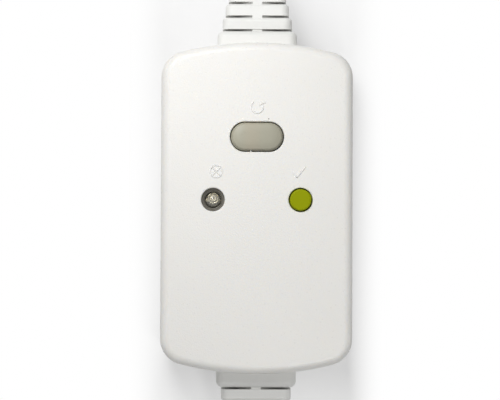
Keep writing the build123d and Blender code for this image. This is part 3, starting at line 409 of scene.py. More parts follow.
def satin_plastic(name, colour, roughness, grain=0.0005, relief=0.000006, mottle=0.05, scratch=0.0,
                  gloss=0.5):
    """Smooth moulded plastic: soft clouding, a trace of grain and a few fine rub marks."""
    finish = Finish(name)
    clouds = finish.noise(0.006, 3.0)
    fine = finish.noise(grain)
    rubbed = finish.noise(0.0006, 1.0, finish.scaled(1, 0.08, 1)) > 0.70
    tint = finish.shade(rgba(colour), clouds * mottle + fine * 0.03 + (1 - mottle / 2 - 0.015))
    shine = roughness + (clouds - 0.5) * 0.12 + rubbed * scratch
    return finish.finish(tint, shine, fine, relief, {"IOR": 1.5, "Specular IOR Level": gloss})


def flow_marked_plastic_with_painted_shade(name, node, colour, roughness):
    """Button plastic with a warm streak across the middle and soft flow marks beside it.
    Its colour carries painted shade: it darkens along its length and towards its lower edge."""
    finish = Finish(name)
    share, depth = finish.along(node, "X"), 1 - finish.along(node, "Y")
    wander = finish.noise(0.004, 2.0, finish.scaled(1, 0.35, 1)) - 0.5
    fine = finish.noise(0.00045)
    streak_place, streak_half = 0.42, 0.20
    streak = (1 - ((share + wander * 0.25 - streak_place) / streak_half) ** 2).at_least(0.0)
    warm = (colour[0] * 1.05, colour[1] * 0.985, colour[2] * 0.96)
    tint = finish.mix(streak * 0.6, rgba(colour), rgba(warm))
    # painted shade: darker along x and towards the lower edge; wander and fine add flow marks and grain
    light = 1.08 - share * 0.22 - depth ** 4 * 0.20 + wander * 0.10 + (fine - 0.5) * 0.04
    tint = finish.shade(tint, light)
    shine = roughness + wander * 0.2 + share * 0.08
    return finish.finish(tint, shine, fine, 0.000007, {"IOR": 1.5})


def plated_metal(name, colour, roughness, way=(1, 1, 0.1), grain=0.0004, relief=0.000003, stain=None):
    """Plated or drawn metal: fine lines along one way, clouded shine and faint staining."""
    finish = Finish(name)
    lines = finish.noise(grain, 2.0, finish.scaled(*way))
    clouds = finish.noise(0.004, 3.0)
    stained = rgba(stain) if stain else rgba(colour, 0.78)
    tint = finish.mix(clouds * 0.35, rgba(colour), stained)
    shine = roughness + (clouds - 0.5) * 0.15 + (lines - 0.5) * 0.12
    return finish.finish(tint, shine, lines, relief, {"Metallic": 1.0})


def board_laminate(name, colour):
    """Board laminate: glass weave under a green mask, with wide copper areas that show through."""
    finish = Finish(name)
    across, along = [finish.node("ShaderNodeTexWave", {"bands_direction": way},
                                 {"Vector": finish.place, "Scale": 260.0}) for way in "XY"]
    weave = across * 0.5 + along * 0.5
    copper = finish.cells(0.009, finish.scaled(1, 0.6, 1), "DISTANCE_TO_EDGE") > 0.07
    tint = finish.mix(copper * 0.6, rgba(colour, 0.62), rgba(colour))
    tint = finish.shade(tint, weave * 0.10 + 0.95)
    height = copper * 0.6 + weave * 0.25
    return finish.finish(tint, 0.34 + weave * 0.08, height, 0.00002, {"IOR": 1.52, "Coat Weight": 0.25})


def dipped_resin(name, colour):
    """Glossy dipped resin with a slow orange-peel skin."""
    finish = Finish(name)
    skin = finish.noise(0.0018, 1.0)
    tint = finish.shade(rgba(colour), finish.noise(0.005) * 0.3 + 0.85)
    return finish.finish(tint, 0.16 + skin * 0.1, skin, 0.00005, {"IOR": 1.55})


def banded_bodies(name, node, colour, bands, lead=0.62):
    """Small round parts across the board: tinned leads at both ends and painted bands on the body.
    Bands are (start, end, colour) as shares of the whole length from the left."""
    finish = Finish(name)
    share = finish.along(node, "X")
    tint = finish.shade(rgba(colour), finish.noise(0.002) * 0.2 + 0.9)
    for start, end, paint in bands:
        tint = finish.mix((share > start) * (share < end), tint, rgba(paint))
    body_start, body_end = 0.132, 0.868
    body = (share > body_start) * (share < body_end)
    tint = finish.mix(body, rgba((lead, lead, lead * 0.98)), tint)
    grain = finish.noise(0.0008, 1.0)
    return finish.finish(tint, 0.34 - body * 0.04, grain, 0.000008, {"Metallic": 1 - body})


def sleeved_can(name, node, stripe, sleeve):
    """An aluminium can in a shrink sleeve, with a pale stripe down one side and a bare top that is
    cut with a cross."""
    finish = Finish(name)
    low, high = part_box(node)
    middle, radius = (low + high) / 2, (high.x - low.x) / 2
    across = finish.axis("X") - middle.x
    along = finish.axis("Y") - middle.y
    bare, cut = 0.74 ** 0.5 * radius, 0.12 * MM
    stripe_start, stripe_half = 2.0 * MM, 2.2 * MM
    inside = (across * across + along * along) < bare ** 2
    top = (finish.axis("Z") > high.z - 0.3 * MM) * inside
    vent = top * ((abs(across) < cut) + (abs(along) < cut))
    marked = (across > stripe_start) * (abs(along) < stripe_half)
    tint = finish.mix(marked, rgba(sleeve), rgba(stripe))
    tint = finish.mix(top, tint, rgba((0.72, 0.73, 0.74)))
    grain = finish.noise(0.0006)
    return finish.finish(tint, 0.24 + grain * 0.14, grain * 0.2 - vent, 0.00006, {"Metallic": top})


def clear_resin(name, tint, milk):
    """Cast resin of the lamp: mostly clear, with a share of milky scatter in its skin."""
    finish = Finish(name)
    haze = finish.noise(0.0009)
    clear = {"IOR": 1.5, "Transmission Weight": 1 - milk}
    return finish.finish(rgba(tint), haze * 0.05 + 0.03, haze, 0.000004, clear)


def dress(material, *names):
    """Gives one material to CAD nodes."""
    for name in names:
        for slot in NODES[name].material_slots:
            slot.material = material


# ---- Settings a user would change -------------------------------------------

class CaseSettings(bpy.types.PropertyGroup):
    """Covers and cord guards."""

    colour: bpy.props.FloatVectorProperty(
        name="Case colour", description="Colour of both covers", subtype="COLOR",
        default=(0.87, 0.858, 0.825), min=0, max=1)
    guard_colour: bpy.props.FloatVectorProperty(
        name="Guard colour", description="Colour of the cord guards", subtype="COLOR",
        default=(0.84, 0.84, 0.815), min=0, max=1)
    grain: bpy.props.FloatProperty(
        name="Skin grain", description="Size of the pits in the moulded skin", unit="LENGTH",
        default=0.0005, min=0.00005, precision=5)
    relief: bpy.props.FloatProperty(
        name="Skin relief", description="Depth of the pits in the moulded skin", unit="LENGTH",
        default=0.0001, min=0, precision=6)
    sign_size: bpy.props.FloatProperty(
        name="Sign size", description="Height of the raised signs beside the controls",
        unit="LENGTH", default=0.0042, min=0.001, precision=4)
    sign_stroke: bpy.props.FloatProperty(
        name="Sign stroke", description="Width of the raised lines of the signs", unit="LENGTH",
        default=0.00046, min=0.0001, precision=5)
    sign_height: bpy.props.FloatProperty(
        name="Sign relief", description="How far the signs stand out of the face", unit="LENGTH",
        default=0.00026, min=0.00005, precision=5)


class ControlSettings(bpy.types.PropertyGroup):
    """Buttons."""

    reset_crown: bpy.props.FloatProperty(
        name="Reset crown", description="How far the top of the reset button falls to its edge",
        unit="LENGTH", default=0.00025, min=0, max=0.002, precision=5)
    reset_skirt: bpy.props.FloatProperty(
        name="Reset button skirt",
        description="How far the wall below the face stands out past the wall above", unit="LENGTH",
        default=0.0003, min=0, max=0.0004, precision=5)
    reset_edge: bpy.props.FloatProperty(
        name="Reset edge", description="Rounding of the edge of the reset button", unit="LENGTH",
        default=0.0007, min=0.0002, max=0.002, precision=5)
    reset_colour: bpy.props.FloatVectorProperty(
        name="Reset colour", description="Colour of the reset button", subtype="COLOR",
        default=(0.395, 0.38, 0.295), min=0, max=1)
    test_colour: bpy.props.FloatVectorProperty(
        name="Test colour", description="Colour of the test button", subtype="COLOR",
        default=(0.305, 0.345, 0.0), min=0, max=1)


class LampSettings(bpy.types.PropertyGroup):
    """Indicator lamp and its holder."""

    resin_tint: bpy.props.FloatVectorProperty(
        name="Resin tint", description="Colour of the clear resin", subtype="COLOR",
        default=(0.91, 0.89, 0.79), min=0, max=1)
    holder_colour: bpy.props.FloatVectorProperty(
        name="Holder colour", description="Colour of the lamp's holder", subtype="COLOR",
        default=(0.125, 0.115, 0.09), min=0, max=1)
    milk: bpy.props.FloatProperty(
        name="Milkiness", description="Share of light that the resin scatters", subtype="FACTOR",
        default=0.24, min=0, max=1)
    cup_radius: bpy.props.FloatProperty(
        name="Cup radius", description="Radius of the reflector cup at its rim", unit="LENGTH",
        default=0.0009, min=0.0003, precision=5)
    cup_depth: bpy.props.FloatProperty(
        name="Cup depth", description="Depth of the reflector cup", unit="LENGTH", default=0.00055,
        min=0.0001, precision=5)


class InsideSettings(bpy.types.PropertyGroup):
    """Screws, winding and the parts on the board."""

    thread_pitch: bpy.props.FloatProperty(
        name="Thread pitch", description="Pitch of the case screws' thread", unit="LENGTH",
        default=0.00106, min=0.0003, precision=5)
    wire_pitch: bpy.props.FloatProperty(
        name="Wire pitch", description="Distance between turns of the winding", unit="LENGTH",
        default=0.0003, min=0.0001, precision=5)
    laminate_colour: bpy.props.FloatVectorProperty(
        name="Board colour", description="Colour of the circuit board", subtype="COLOR",
        default=(0.03, 0.19, 0.075), min=0, max=1)


class StageSettings(bpy.types.PropertyGroup):
    """Floor, lights and camera."""

    floor_colour: bpy.props.FloatVectorProperty(
        name="Floor colour", description="Colour of the floor", subtype="COLOR",
        default=(0.92, 0.92, 0.92), min=0, max=1)
    floor_glow: bpy.props.FloatProperty(
        name="Floor glow",
        description="Share of plain white that the camera sees in the floor at the case",
        subtype="FACTOR", default=0.38, min=0, max=1)
    shadow_reach: bpy.props.FloatProperty(
        name="Shadow reach",
        description="Distance from the case's ends at which the floor is plain white",
        unit="LENGTH", default=0.065, min=0.01)
    side_reach: bpy.props.FloatProperty(
        name="Side reach",
        description="Distance from the case's sides at which the floor is plain white",
        unit="LENGTH", default=0.012, min=0.005)
    sky: bpy.props.FloatProperty(
        name="Sky", description="Strength of the even light from all round", default=0.24, min=0)
    key: bpy.props.FloatProperty(
        name="Key light", description="Power of the lamp at the upper left", unit="POWER",
        default=0.33, min=0)
    fill: bpy.props.FloatProperty(
        name="Fill light", description="Power of the lamp at the lower right", unit="POWER",
        default=0.11, min=0)
    sheen: bpy.props.FloatProperty(
        name="Sheen light",
        description="Power of the lamp whose reflection lies on the upper left of the face",
        unit="POWER", default=0.15, min=0)
    distance: bpy.props.FloatProperty(
        name="Camera distance", description="From the middle of the front face to the camera",
        unit="LENGTH", default=0.65, min=0.1)
    tilt: bpy.props.FloatProperty(
        name="Camera tilt", description="How far the camera stands towards the load end",
        subtype="ANGLE", default=radians(2), min=0)
    roll: bpy.props.FloatProperty(
        name="Camera roll", description="Turn of the camera about its own line of sight",
        subtype="ANGLE", default=radians(0.25))
    focal_pixels: bpy.props.FloatProperty(
        name="Focal length in pixels",
        description="Focal length over the width of one of 500 pixels", default=2105, min=100)
    aim: bpy.props.FloatVectorProperty(
        name="Aim",
        description="Pixel of the middle of the front face in the picture of 500 by 400", size=2,
        default=(256.7, 207.65))


SETTINGS = {"device_case": CaseSettings, "device_controls": ControlSettings, "device_lamp": LampSettings,
            "device_inside": InsideSettings, "device_stage": StageSettings}


# ---- Operators --------------------------------------------------------------

class DEVICE_OT_covers(bpy.types.Operator):
    """Give both covers their moulded finish and the reset opening its moulding nib"""

    bl_idname = "device.covers"
    bl_label = "Covers"

    def execute(self, context):
        case = context.scene.device_case
        speck = (3.62 * MM, 27.5 * MM, 0.22 * MM)
        front = spark_eroded("case_front_skin", case.colour, case.grain, case.relief, speck=speck)
        back = spark_eroded("case_back_skin", case.colour, case.grain * 1.15, case.relief, 0.38)
        dress(front, "front_cover")
        dress(back, "rear_cover")
        nib_low = (-2.15 * MM, 17.05 * MM, FACE - 0.6 * MM)
        nib_high = (-1.65 * MM, 17.78 * MM, FACE - 0.12 * MM)
        nib = soft_block(nib_low, nib_high, power=0.7, count=12)
        add_piece("opening_nib", [nib], front, "case")
        return {"FINISHED"}


class DEVICE_OT_cord_guards(bpy.types.Operator):
    """Give the cord guards the smoother skin of a flexible plastic"""

    bl_idname = "device.cord_guards"
    bl_label = "Cord guards"

    def execute(self, context):
        case = context.scene.device_case
        skin = satin_plastic("guard_skin", case.guard_colour, 0.5, 0.0004, 0.000008, 0.04, 0.06)
        dress(skin, "line_cord_guard", "load_cord_guard")
        return {"FINISHED"}


class DEVICE_OT_signs(bpy.types.Operator):
    """Raise three plain signs on the front face: a turning arrow, a lamp and a tick"""

    bl_idname = "device.signs"
    bl_label = "Raised signs"

    def execute(self, context):
        case = context.scene.device_case
        half = case.sign_size / 2
        ring = half - case.sign_stroke / 2
        skin = NODES["front_cover"].material_slots[0].material
        by_reset, by_lamp, by_test = np.array(((0.0, 31.2), (-12.6, 11.2), (12.9, 11.0))) * MM

        def raised(path, closed=False):
            return raised_stroke(path, case.sign_stroke, case.sign_height, FACE, closed)

        foot, tip = arc(by_reset, ring, 385, 436, 2)
        out = (foot - by_reset) / ring * 0.56 * half
        turning_arrow = [raised(arc(by_reset, ring, 130, 388)),
                         raised_patch((tip, foot + out, foot - out), case.sign_height, FACE)]
        reach = (ring - 0.1 * case.sign_stroke) * cos(pi / 4)
        crossed_circle = [raised(arc(by_lamp, ring, 0, 352.5), closed=True)]
        for corner in ((reach, reach), (reach, -reach)):
            crossed_circle.append(raised(line(by_lamp - corner, by_lamp + corner)))
        ends = by_test + half * np.array(((-0.95, 0.02), (-0.25, -0.72), (0.98, 0.80)))
        tick = [raised(line(start, end)) for start, end in zip(ends, ends[1:])]
        signs = {"reset_sign": turning_arrow, "lamp_sign": crossed_circle, "test_sign": tick}
        for name, strokes in signs.items():
            add_piece(name, strokes, skin, "case")
        return {"FINISHED"}


class DEVICE_OT_buttons(bpy.types.Operator):
    """Shape the crown of the reset button, and finish both buttons and what they push"""

    bl_idname = "device.buttons"
    bl_label = "Buttons"

    def execute(self, context):
        controls = context.scene.device_controls
        low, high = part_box("reset_button")
        middle = (low + high) / 2
        rim = (high.y - low.y) / 2
        flange, bevel, corner = 1.2 * MM, 0.2 * MM, 0.1 * MM
        wall = rim - 1.5 * MM
        skirt = wall + controls.reset_skirt
        ledge = FACE - 0.6 * MM
        edge = controls.reset_edge
        shoulder = high.z - controls.reset_crown - edge
        foot = [(0, low.z), (rim - bevel, low.z), (rim, low.z + bevel), (rim, low.z + flange - bevel),
                (rim - bevel, low.z + flange), (skirt, low.z + flange), (skirt, ledge - corner),
                (skirt - corner, ledge), (wall, ledge + 0.03 * MM)]
        # The edge is a quarter round, and the crown falls with the fourth power of the way outwards.
        rounding = arc((wall - edge, shoulder), edge, 0, 90, 9)
        across = np.linspace(wall - edge, 0, 16)
        fall = controls.reset_crown * (across / (wall - edge)) ** 4
        crown = np.stack((across, high.z - fall), axis=-1)
        profile = np.concatenate((foot, rounding, crown[1:]))
        skin = flow_marked_plastic_with_painted_shade("reset_skin", "reset_button", controls.reset_colour, 0.42)
        button = stadium_stack(profile, middle, (high.x - low.x) / 2 - rim)
        add_piece("reset_cap", [button], skin, "reset_actuator", ("reset_button",), 40)
        dress(satin_plastic("test_skin", controls.test_colour, 0.45, 0.0004, 0.000006, 0.10, 0.06, 0.08),
              "test_button")
        dress(plated_metal("turned_steel", (0.62, 0.62, 0.61), 0.28, (1, 1, 4)), "reset_pin")
        return {"FINISHED"}


class DEVICE_OT_lamp(bpy.types.Operator):
    """Build the clear lamp with its lead frame, cup, chip and wire, and finish its holder"""

    bl_idname = "device.lamp"
    bl_label = "Indicator lamp"

    def execute(self, context):
        lamp = context.scene.device_lamp
        holder = satin_plastic("holder_skin", lamp.holder_colour, 0.42, 0.0004, 0.00001, 0.25, 0.1)
        dress(holder, "lamp_holder")
        low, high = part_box("indicator_lamp")
        holder_low, holder_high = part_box("lamp_holder")
        x, y = (low.x + high.x) / 2, (low.y + high.y) / 2
        radius, flange, bevel = 2.5 * MM, 2.9 * MM, 0.15 * MM
        bottom = high.z - 8.7 * MM
        flange_top = bottom + 1.0 * MM
        # The dome is a quarter round whose radius is the lamp's own.
        dome = arc((0, high.z - radius), radius, 0, 90, 24)
        foot = [(0, bottom), (flange - bevel, bottom), (flange, bottom + bevel),
                (flange, flange_top - bevel), (flange - bevel, flange_top),
                (radius + 0.08 * MM, flange_top), (radius, flange_top + 0.1 * MM)]
        lens = revolved(np.concatenate((foot, dome)), (x, y), 96)
        resin = clear_resin("lamp_resin", lamp.resin_tint, lamp.milk)
        add_piece("lamp_lens", [lens], resin, "case", ("indicator_lamp",), 60)

        rim = high.z - 2.9 * MM
        floor = rim - lamp.cup_depth
        cup_y = y + 0.4 * MM
        top, bed = lamp.cup_radius, lamp.cup_radius * 0.55
        under = floor - 0.35 * MM
        cup = [(0, floor), (bed, floor), (top, rim), (top + 0.14 * MM, rim),
               (top + 0.1 * MM, rim - 0.5 * MM), (bed + 0.1 * MM, under), (0, under)]
        silver = plated_metal("lead_silver", (0.66, 0.61, 0.48), 0.5, (1, 1, 1), 0.0002, 0.000004)
        frame_parts = [revolved(cup, (x, cup_y), 48)]
        for left, right, half_depth, start, end, power in (
            (-0.30, 1.55, 0.28, bottom - 0.1 * MM, floor - 0.3 * MM, 0.2),
            (-1.55, -0.62, 0.28, bottom - 0.1 * MM, rim - 0.15 * MM, 0.2),
            (-1.52, -1.02, 0.25, holder_low.z, bottom + 0.4 * MM, 0.12),
            (1.02, 1.52, 0.25, holder_low.z, bottom + 0.4 * MM, 0.12),
        ):
            frame_parts.append(soft_block((x + left * MM, y - half_depth * MM, start),
                                          (x + right * MM, y + half_depth * MM, end), power))
        add_piece("lamp_lead_frame", frame_parts, silver, "case")

        black = satin_plastic("chip_surface", (0.05, 0.045, 0.03), 0.3)
        side, chip_top = 0.16 * MM, floor + 0.2 * MM
        chip = soft_block((x - side, cup_y - side, floor - 0.01 * MM),
                          (x + side, cup_y + side, chip_top), 0.12)
        add_piece("lamp_chip", [chip], black, "case")

        seat = holder_high.z - 0.5 * MM
        inner, outer, below = 2.53 * MM, 2.86 * MM, seat - 0.9 * MM
        profile = [(inner, below), (outer, below), (outer, seat + 0.1 * MM), (2.6 * MM, seat),
                   (inner, seat - 0.07 * MM), (inner, below)]
        collar = revolved(profile, (x, y), 96)
        add_piece("lamp_collar", [collar], holder, "case", sharp=40)

        # The bond wire hops from the chip to the post: half a sine on top of a straight way.
        share = np.linspace(0, 1, 24)
        rise = (rim - floor - 0.35 * MM) * share + 0.5 * MM * np.sin(pi * share)
        hop = np.stack((x - 1.05 * MM * share, cup_y + (y - cup_y) * share, chip_top + rise), axis=-1)
        gold = plated_metal("bond_gold", (0.85, 0.62, 0.25), 0.25)
        add_piece("lamp_bond_wire", [tube(hop, 0.018 * MM, 8)], gold, "case")
        return {"FINISHED"}


class DEVICE_OT_screws(bpy.types.Operator):
    """Cut the case screws with cross recesses and threads, and finish the others"""

    bl_idname = "device.screws"
    bl_label = "Screws"

    def execute(self, context):
        steel = plated_metal("zinc_plate", (0.66, 0.67, 0.68), 0.26, (1, 1, 1), 0.0003, 0.000004,
                             (0.55, 0.53, 0.45))
        dress(steel, "clamp_screws", "board_screws", "terminal_screws")
        low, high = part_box("case_screws")
        head, shank, seat = 2.6 * MM, 1.5 * MM, low.z + 2.0 * MM
        pitch = context.scene.device_inside.thread_pitch
        under_head = [(head, low.z + 0.75 * MM), (head, seat - 0.25 * MM), (head - 0.2 * MM, seat),
                      (0, seat)]
        right, far = high.x - head, high.y - head
        surfaces = []
        for x, y in ((-right, -far), (-right, far), (right, -far), (right, far)):
            surfaces += [self.head_face(x, y, low.z, head), revolved(under_head, (x, y), 72),
                         self.thread(x, y, seat - 0.1 * MM, high.z, shank, pitch)]
        add_piece("case_screws_cut", surfaces, steel, "case", ("case_screws",), 40)
        return {"FINISHED"}

    def head_face(self, x, y, low, radius):
        """The domed head seen from below, on polar rings: it falls away from its middle with the
        radius to the power 2.6, and two bars are sunk across it, with sloping walls and a floor
        that rises evenly outwards."""
        share = np.concatenate((np.linspace(0, 0.9, 34), [0.95, 1.0]))
        angle = full_turn(72)
        u, v = np.outer(share, np.cos(angle)), np.outer(share, np.sin(angle))
        dome = 0.75 * MM * np.outer(share ** 2.6, np.ones(len(angle)))
        bar_length, end_slope, bar_width, side_slope = 0.62, 0.10, 0.145, 0.07

        def bar(way, beside):
            ends = np.clip((bar_length - np.abs(way)) / end_slope, 0, 1)
            return np.minimum(ends, np.clip((bar_width - np.abs(beside)) / side_slope, 0, 1))

        sunk = np.maximum(bar(u, v), bar(v, u)) * (1.05 - 0.55 * np.hypot(u, v)) * MM
        points = np.stack((x + radius * u, y + radius * v, low + dome + sunk), axis=-1)
        return surface(points)

    def thread(self, x, y, low, high, radius, pitch):
        """A threaded shank: the radius falls from the crest by a sharp triangle wave of height less
        angle over one pitch. The thread starts 3.2 mm up, and in the last 0.9 mm the radius shrinks
        evenly to a quarter."""
        heights = np.linspace(low, high, int((high - low) / pitch * 10))
        height, angle = np.meshgrid(heights, full_turn(28), indexing="ij")
        phase = (height - low) / pitch - angle / (2 * pi)
        crest = np.clip(1 - 2.6 * np.abs(phase - np.round(phase)), 0, 1)
        grip = np.clip((height - low - 3.2 * MM) / (0.8 * MM), 0, 1)
        size = radius * (0.80 + 0.20 * crest * grip)
        size *= np.clip((high - height) / (1.2 * MM) + 0.25, 0, 1)
        size[[0, -1]] = 0
        return surface(around((x, y), size, angle, height))


class DEVICE_OT_conductors(bpy.types.Operator):
    """Finish the terminals, strips and contacts"""

    bl_idname = "device.conductors"
    bl_label = "Conductors"

    def execute(self, context):
        brass = plated_metal("machined_brass", (0.74, 0.56, 0.26), 0.27, (1, 0.12, 1), 0.0003, 0.000004,
                             (0.55, 0.38, 0.16))
        copper = plated_metal("rolled_copper", (0.78, 0.42, 0.27), 0.30, (1, 0.1, 1), 0.0003, 0.000003,
                              (0.52, 0.24, 0.15))
        silver = plated_metal("contact_silver", (0.85, 0.84, 0.81), 0.2, (1, 1, 1), 0.0003, 0.000003)
        dress(brass, "test_leaf", "test_leaf_post", "test_contact",
              *[f"{end}_{pole}_terminal" for end in ("line", "load")
                for pole in ("live", "neutral", "earth")])
        dress(copper, "earth_strap", *[f"{pole}_{part}" for pole in ("live", "neutral")
                                       for part in ("fixed_contact", "contact_arm", "load_busbar")])
        dress(silver, "fixed_contact_tips", "moving_contact_tips")
        return {"FINISHED"}


class DEVICE_OT_springs(bpy.types.Operator):
    """Wind the three compression springs"""

    bl_idname = "device.springs"
    bl_label = "Springs"

    def execute(self, context):
        wire = plated_metal("spring_wire", (0.56, 0.56, 0.57), 0.24, (1, 1, 1), 0.0002, 0.000003)
        for node, body, joint, axis, seat, thickness, turns in (
            ("reset_spring", "case", "reset_press", 2, 0, 0.3 * MM, 5),
            ("plunger_spring", "case", "plunger_strike", 1, 1, 0.2 * MM, 6),
            ("latch_spring", "lifter_block", "latch_release", 1, 1, 0.15 * MM, 5),
        ):
            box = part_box(node)
            anchor = (box[0] + box[1]) / 2
            anchor[axis] = box[seat][axis]
            turned = coil(*box, axis, thickness, turns)
            piece = add_piece(node + "_coil", [turned], wire, body, (node,), 60)
            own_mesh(piece)
        return {"FINISHED"}


class DEVICE_OT_mechanism(bpy.types.Operator):
    """Wind the coil and finish the solenoid, the latch, the lifter and the cord clamps"""

    bl_idname = "device.mechanism"
    bl_label = "Mechanism"

    def execute(self, context):
        # The winding's radius follows its turns as a row of arcs: it falls by half a pitch between
        # them, as 1 less the size of the sine of pi times (way over pitch less share of a turn).
        low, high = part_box("coil_winding")
        middle_x, middle_z = (low.x + high.x) / 2, (low.z + high.z) / 2
        bore = 3.0 * MM
        pitch = context.scene.device_inside.wire_pitch
        ways = np.linspace(low.y, high.y, int((high.y - low.y) / pitch * 6))
        along, angle = np.meshgrid(ways, full_turn(96), indexing="ij")
        turn = np.abs(np.sin(pi * ((along - low.y) / pitch - angle / (2 * pi))))
        size = high.x - middle_x - pitch / 2 * (1 - turn)
        size[[0, -1]] = bore
        points = around((middle_x, middle_z), size, angle, along)[..., [0, 2, 1]]
        enamel = plated_metal("enamelled_wire", (0.55, 0.17, 0.05), 0.26, (1, 1, 1), 0.0005, 0.000002)
        add_piece("coil_turns", [surface(points, close_rows=True)], enamel, "case",
                  ("coil_winding",), 75)
        dress(plated_metal("soft_iron", (0.58, 0.58, 0.57), 0.34, (1, 0.1, 1)), "coil_yoke", "plunger")
        dress(plated_metal("latch_steel", (0.64, 0.64, 0.63), 0.22, (0.1, 1, 1)), "latch_plate")
        dress(satin_plastic("dark_nylon", (0.045, 0.045, 0.05), 0.42, 0.0004, 0.00001, 0.2, 0.1),
              "coil_bobbin", "lifter", "mechanism_frame")
        dress(satin_plastic("clamp_nylon", (0.68, 0.68, 0.65), 0.45, 0.0004, 0.00001, 0.06, 0.08),
              "line_cord_clamp", "load_cord_clamp")
        return {"FINISHED"}


class DEVICE_OT_electronics(bpy.types.Operator):
    """Finish the board and the parts on it"""

    bl_idname = "device.electronics"
    bl_label = "Board and electronics"

    def execute(self, context):
        inside = context.scene.device_inside
        dress(board_laminate("green_laminate", inside.laminate_colour), "circuit_board")
        dress(dipped_resin("blue_resin", (0.02, 0.06, 0.24)), "varistor")
        dress(dipped_resin("ring_resin", (0.03, 0.035, 0.04)), "current_transformer")
        dress(satin_plastic("yellow_box", (0.62, 0.45, 0.06), 0.32, 0.0005, 0.000006, 0.08),
              "film_capacitor")
        dress(satin_plastic("black_package", (0.024, 0.024, 0.025), 0.52, 0.0003, 0.000015, 0.2),
              "control_chip", "thyristor")
        can = "electrolytic_capacitor"
        dress(sleeved_can("can_sleeve", can, (0.55, 0.58, 0.62), (0.02, 0.025, 0.06)), can)
        resistor_bands = [(0.22, 0.28, (0.30, 0.08, 0.02)), (0.34, 0.40, (0.02, 0.02, 0.02)),
                          (0.46, 0.52, (0.45, 0.03, 0.02)), (0.72, 0.78, (0.60, 0.42, 0.10))]
        diode_band = [(0.70, 0.80, (0.62, 0.62, 0.62))]
        resistor = banded_bodies("resistor_bands", "resistors", (0.50, 0.36, 0.20), resistor_bands)
        dress(resistor, "resistors")
        dress(banded_bodies("diode_bands", "diodes", (0.02, 0.02, 0.02), diode_band), "diodes")
        return {"FINISHED"}


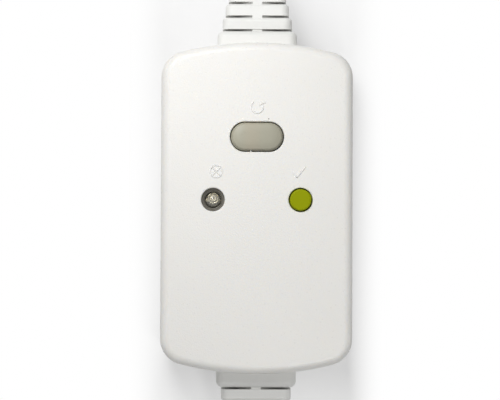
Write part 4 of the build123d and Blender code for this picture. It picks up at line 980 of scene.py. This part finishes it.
class DEVICE_OT_stage(bpy.types.Operator):
    """Set up the floor, the soft lights and the camera of the photograph's view"""

    bl_idname = "device.stage"
    bl_label = "Stage"

    lamps = {"key": ((-0.08, 0.17, 0.22), 0.10), "fill": ((0.06, -0.13, 0.24), 0.04),
             "sheen": ((-0.045, 0.08, 0.29), 0.05)}

    def execute(self, context):
        stage = context.scene.device_stage
        self.floor(stage)
        self.sky(context.scene, stage)
        for name, (place, size) in self.lamps.items():
            self.area(name + "_light", place, size, getattr(stage, name))
        self.camera(context.scene, stage)
        context.scene.view_settings.view_transform = "Standard"
        return {"FINISHED"}

    def floor(self, stage):
        """A large flat floor under the object, with the object's shadow on it. Where it is seen it
        turns to plain white: what isn't white falls with the square of the way left to the reach.
        The way is the root of the two squared shares, both counted from the case's edges."""
        finish = Finish("pale_floor")
        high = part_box("front_cover")[1]
        across = (abs(finish.axis("X")) - high.x).at_least(0.0) / stage.side_reach
        along = (abs(finish.axis("Y")) - high.y).at_least(0.0) / stage.shadow_reach
        near = 1 - ((across * across + along * along) ** 0.5).at_most(1.0)
        white = 1 - near * near * (1 - stage.floor_glow)
        tint = finish.shade(rgba(stage.floor_colour), finish.noise(0.5, 1.0) * 0.01 + 0.995)
        plain = finish.node("ShaderNodeBsdfDiffuse", inputs={"Color": tint, "Roughness": 0.9})
        glow = finish.node("ShaderNodeEmission", inputs={"Color": WHITE, "Strength": 1.0})
        both = finish.node("ShaderNodeMixShader", inputs={0: finish.seen() * white, 1: plain, 2: glow})
        mesh = bpy.data.meshes.new("floor")
        reach = 3.0
        corners = [(-reach, -reach, 0), (reach, -reach, 0), (reach, reach, 0), (-reach, reach, 0)]
        mesh.from_pydata(corners, [], [(0, 1, 2, 3)])
        mesh.materials.append(finish.end(both))
        new_object("floor", mesh)

    def sky(self, scene, stage):
        """Even light from all round, plain white wherever it is seen."""
        scene.world = bpy.data.worlds.new("studio")
        studio = Shading(scene.world)
        even, white = [studio.node("ShaderNodeBackground", inputs={"Color": WHITE, "Strength": strength})
                       for strength in (stage.sky, 1.0)]
        both = studio.node("ShaderNodeMixShader", inputs={0: studio.seen(), 1: even, 2: white})
        studio.node("ShaderNodeOutputWorld", inputs={"Surface": both}, out=None)

    def area(self, name, place, size, power):
        """A soft square lamp that faces the middle of the object."""
        light = bpy.data.lights.new(name, "AREA")
        light.size = size
        light.energy = power
        lamp = new_object(name, light)
        lamp.location = place
        middle = Vector((0, 0, 30 * MM))
        lamp.rotation_euler = (middle - Vector(place)).to_track_quat("-Z", "Y").to_euler()
        lamp.visible_camera = False

    def camera(self, scene, stage):
        """The camera above the front face. Its small side steps put the middle of the face on its
        pixel: a step is the pixel's way from the middle times the distance over the focal length."""
        per_pixel = stage.distance / stage.focal_pixels
        right = (PHOTO_WIDTH / 2 - stage.aim[0]) * per_pixel
        up = (stage.aim[1] - PHOTO_HEIGHT / 2) * per_pixel
        turn = Matrix.Rotation(stage.tilt, 4, "X") @ Matrix.Rotation(stage.roll, 4, "Z")
        step = Matrix.Translation((right, up, stage.distance))
        data = bpy.data.cameras.new("photo_camera")
        data.sensor_width = 36
        data.lens = stage.focal_pixels * data.sensor_width / PHOTO_WIDTH
        data.clip_start, data.clip_end = 0.01, 20
        scene.camera = new_object("photo_camera", data)
        scene.camera.matrix_world = Matrix.Translation((0, 0, FACE)) @ turn @ step


OPERATORS = (
    DEVICE_OT_covers, DEVICE_OT_cord_guards, DEVICE_OT_signs, DEVICE_OT_buttons, DEVICE_OT_lamp,
    DEVICE_OT_screws, DEVICE_OT_conductors, DEVICE_OT_springs, DEVICE_OT_mechanism,
    DEVICE_OT_electronics, DEVICE_OT_stage,
)


class DEVICE_PT_panel(bpy.types.Panel):
    """Settings and steps of the device"""

    bl_idname = "DEVICE_PT_panel"
    bl_label = "In-line device"
    bl_space_type = "VIEW_3D"
    bl_region_type = "UI"
    bl_category = "Device"

    def draw(self, context):
        for name, group in SETTINGS.items():
            box = self.layout.box()
            box.label(text=group.__doc__)
            for key in group.__annotations__:
                box.prop(getattr(context.scene, name), key)
        for operator in OPERATORS:
            self.layout.operator(operator.bl_idname)


CLASSES = (*SETTINGS.values(), *OPERATORS, DEVICE_PT_panel)


def register():
    for item in CLASSES:
        bpy.utils.register_class(item)
    for name, group in SETTINGS.items():
        setattr(bpy.types.Scene, name, bpy.props.PointerProperty(type=group))


def unregister():
    for name in SETTINGS:
        delattr(bpy.types.Scene, name)
    for item in reversed(CLASSES):
        bpy.utils.unregister_class(item)


def main():
    register()
    for operator in OPERATORS:
        getattr(bpy.ops.device, operator.bl_idname.split(".")[1])()


if __name__ == "__main__":
    main()
